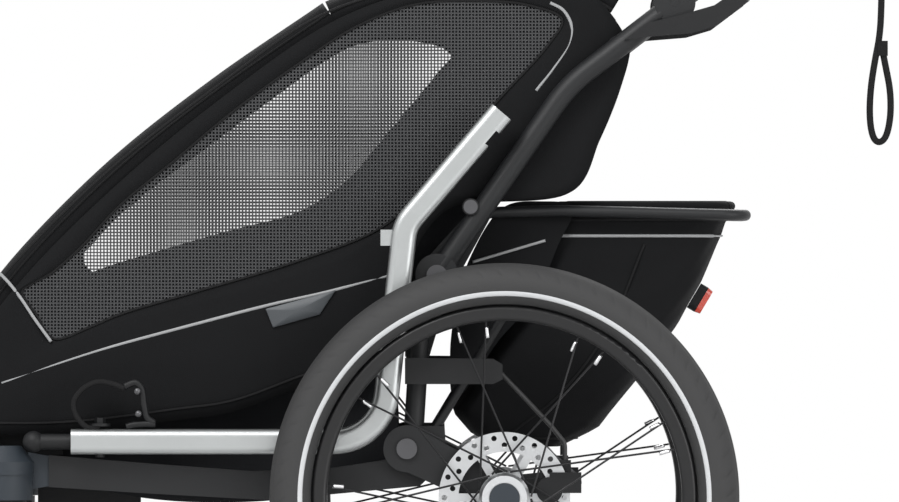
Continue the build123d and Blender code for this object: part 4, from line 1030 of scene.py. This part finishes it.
# ---- stage ------------------------------------------------------------------------------------------
def seen_directly(tree):
    """1 where the camera, a mirror or glass looks straight at the surroundings, and 0 elsewhere."""
    path = tree.nodes.new("ShaderNodeLightPath")
    seen = math_node(tree, "MAXIMUM", path.outputs["Is Camera Ray"], path.outputs["Is Glossy Ray"])
    return math_node(tree, "MAXIMUM", seen, path.outputs["Is Transmission Ray"])


def build_stage(sizes):
    """Pale floor, white surroundings, soft lamps and the camera at the side."""
    scene = bpy.context.scene
    scene.view_settings.view_transform = "Standard"
    world = bpy.data.worlds.new("studio")
    scene.world = world
    world.use_nodes = True
    tree = world.node_tree
    back = tree.nodes["Background"]
    seen = seen_directly(tree)
    level = math_node(tree, "ADD", math_node(tree, "MULTIPLY", seen, 1.0 - sizes.ambient), sizes.ambient)
    back.inputs["Color"].default_value = (1, 1, 1, 1)
    tree.links.new(level, back.inputs["Strength"])
    half = FLOOR_HALF
    corners = [[(-half, -half, 0), (-half, half, 0)], [(half, -half, 0), (half, half, 0)]]
    floor = add_mesh("floor", np.array(corners, float), flip=True)
    mat = bpy.data.materials.new("pale_floor")
    mat.use_nodes = True
    bsdf = mat.node_tree.nodes["Principled BSDF"]
    bsdf.inputs["Base Color"].default_value = (0.82, 0.82, 0.82, 1)
    bsdf.inputs["Roughness"].default_value = 0.85
    floor.data.materials.append(mat)
    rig.stage(floor)
    lamps = (
        ("key", (-1.6, -3.2, 3.6), 2.4, sizes.key_power),
        ("fill", (2.8, -3.4, 1.2), 2.6, sizes.key_power * 0.40),
        ("rear", (0.4, 2.6, 3.2), 2.2, sizes.key_power * 0.55),
    )
    aim = np.array([0.0, 0.0, 0.5])
    for name, spot, size, power in lamps:
        light = bpy.data.lights.new(name, "AREA")
        light.energy, light.size = power, size
        lamp = bpy.data.objects.new(name, light)
        lamp.location = spot
        lamp.rotation_euler = look_angles(np.array(spot), aim)
        scene.collection.objects.link(lamp)
    camera = bpy.data.cameras.new("side_view")
    camera.lens, camera.sensor_width, camera.clip_end = LENS, SENSOR, 120.0
    eye = bpy.data.objects.new("side_view", camera)
    eye.location = EYE
    eye.rotation_euler = (math.pi / 2, 0, 0)
    scene.collection.objects.link(eye)
    scene.camera = eye


def look_angles(spot, aim):
    """Euler angles that turn a lamp at a spot towards an aim."""
    d = aim - spot
    flat = math.hypot(d[0], d[1])
    return math.atan2(flat, -d[2]), 0.0, math.atan2(-d[0], d[1])


# ---- add-on -----------------------------------------------------------------------------------------
class TrailerSizes(bpy.types.PropertyGroup):
    """Light levels of the stage."""

    key_power: bpy.props.FloatProperty(
        name="Key lamp", description="Power of the main lamp", default=170.0, unit="POWER"
    )
    ambient: bpy.props.FloatProperty(
        name="Ambient", description="Level of the even light", default=0.6, min=0, max=1
    )


def operator(label, text, work):
    """An operator class that runs one builder."""

    class Made(bpy.types.Operator):
        bl_idname = f"trailer.{label}"
        bl_label = text
        bl_options = {"REGISTER", "UNDO"}

        def execute(self, context):
            work(context)
            return {"FINISHED"}

    Made.__doc__ = text
    Made.__name__ = f"TRAILER_OT_{label}"
    return Made


STEPS = (
    ("finish_nodes", "Finish the packed nodes", lambda context: finish_nodes()),
    ("side_cloth", "Side panels, windows, lining, piping and badge", lambda context: build_side_cloth()),
    ("hood", "Front cover and canopy", lambda context: build_hood()),
    ("tyres", "Tyres, rings, nipples and valves", lambda context: build_tyres()),
    ("bag", "Cargo bag", lambda context: build_bag()),
    ("seat", "Seat, sling and shoulder straps", lambda context: build_seat()),
    ("straps", "Wrist strap and safety strap", lambda context: build_straps()),
    ("stage", "Floor, lamps and camera", lambda context: build_stage(context.scene.trailer_sizes)),
)
OPERATORS = [operator(*step) for step in STEPS]


class TRAILER_PT_panel(bpy.types.Panel):
    """Buttons that build the trailer's pieces."""

    bl_label = "Trailer"
    bl_idname = "TRAILER_PT_panel"
    bl_space_type = "VIEW_3D"
    bl_region_type = "UI"
    bl_category = "Trailer"

    def draw(self, context):
        sizes = context.scene.trailer_sizes
        self.layout.prop(sizes, "key_power")
        self.layout.prop(sizes, "ambient")
        for made in OPERATORS:
            self.layout.operator(made.bl_idname)


CLASSES = [TrailerSizes, *OPERATORS, TRAILER_PT_panel]


def register():
    """Registers the classes and their settings."""
    for item in CLASSES:
        bpy.utils.register_class(item)
    bpy.types.Scene.trailer_sizes = bpy.props.PointerProperty(type=TrailerSizes)


def unregister():
    """Removes the settings and the classes."""
    del bpy.types.Scene.trailer_sizes
    for item in reversed(CLASSES):
        bpy.utils.unregister_class(item)


def main():
    """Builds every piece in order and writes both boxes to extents.json."""
    register()
    for label, _, _ in STEPS:
        getattr(bpy.ops.trailer, label)()
    low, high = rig.bounds()
    sizes = {"cad": [list(CAD_BOX[0]), list(CAD_BOX[1])], "visual": [list(low), list(high)]}
    with open("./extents.json", "w") as out:
        json.dump(sizes, out)


if __name__ == "__main__":
    main()
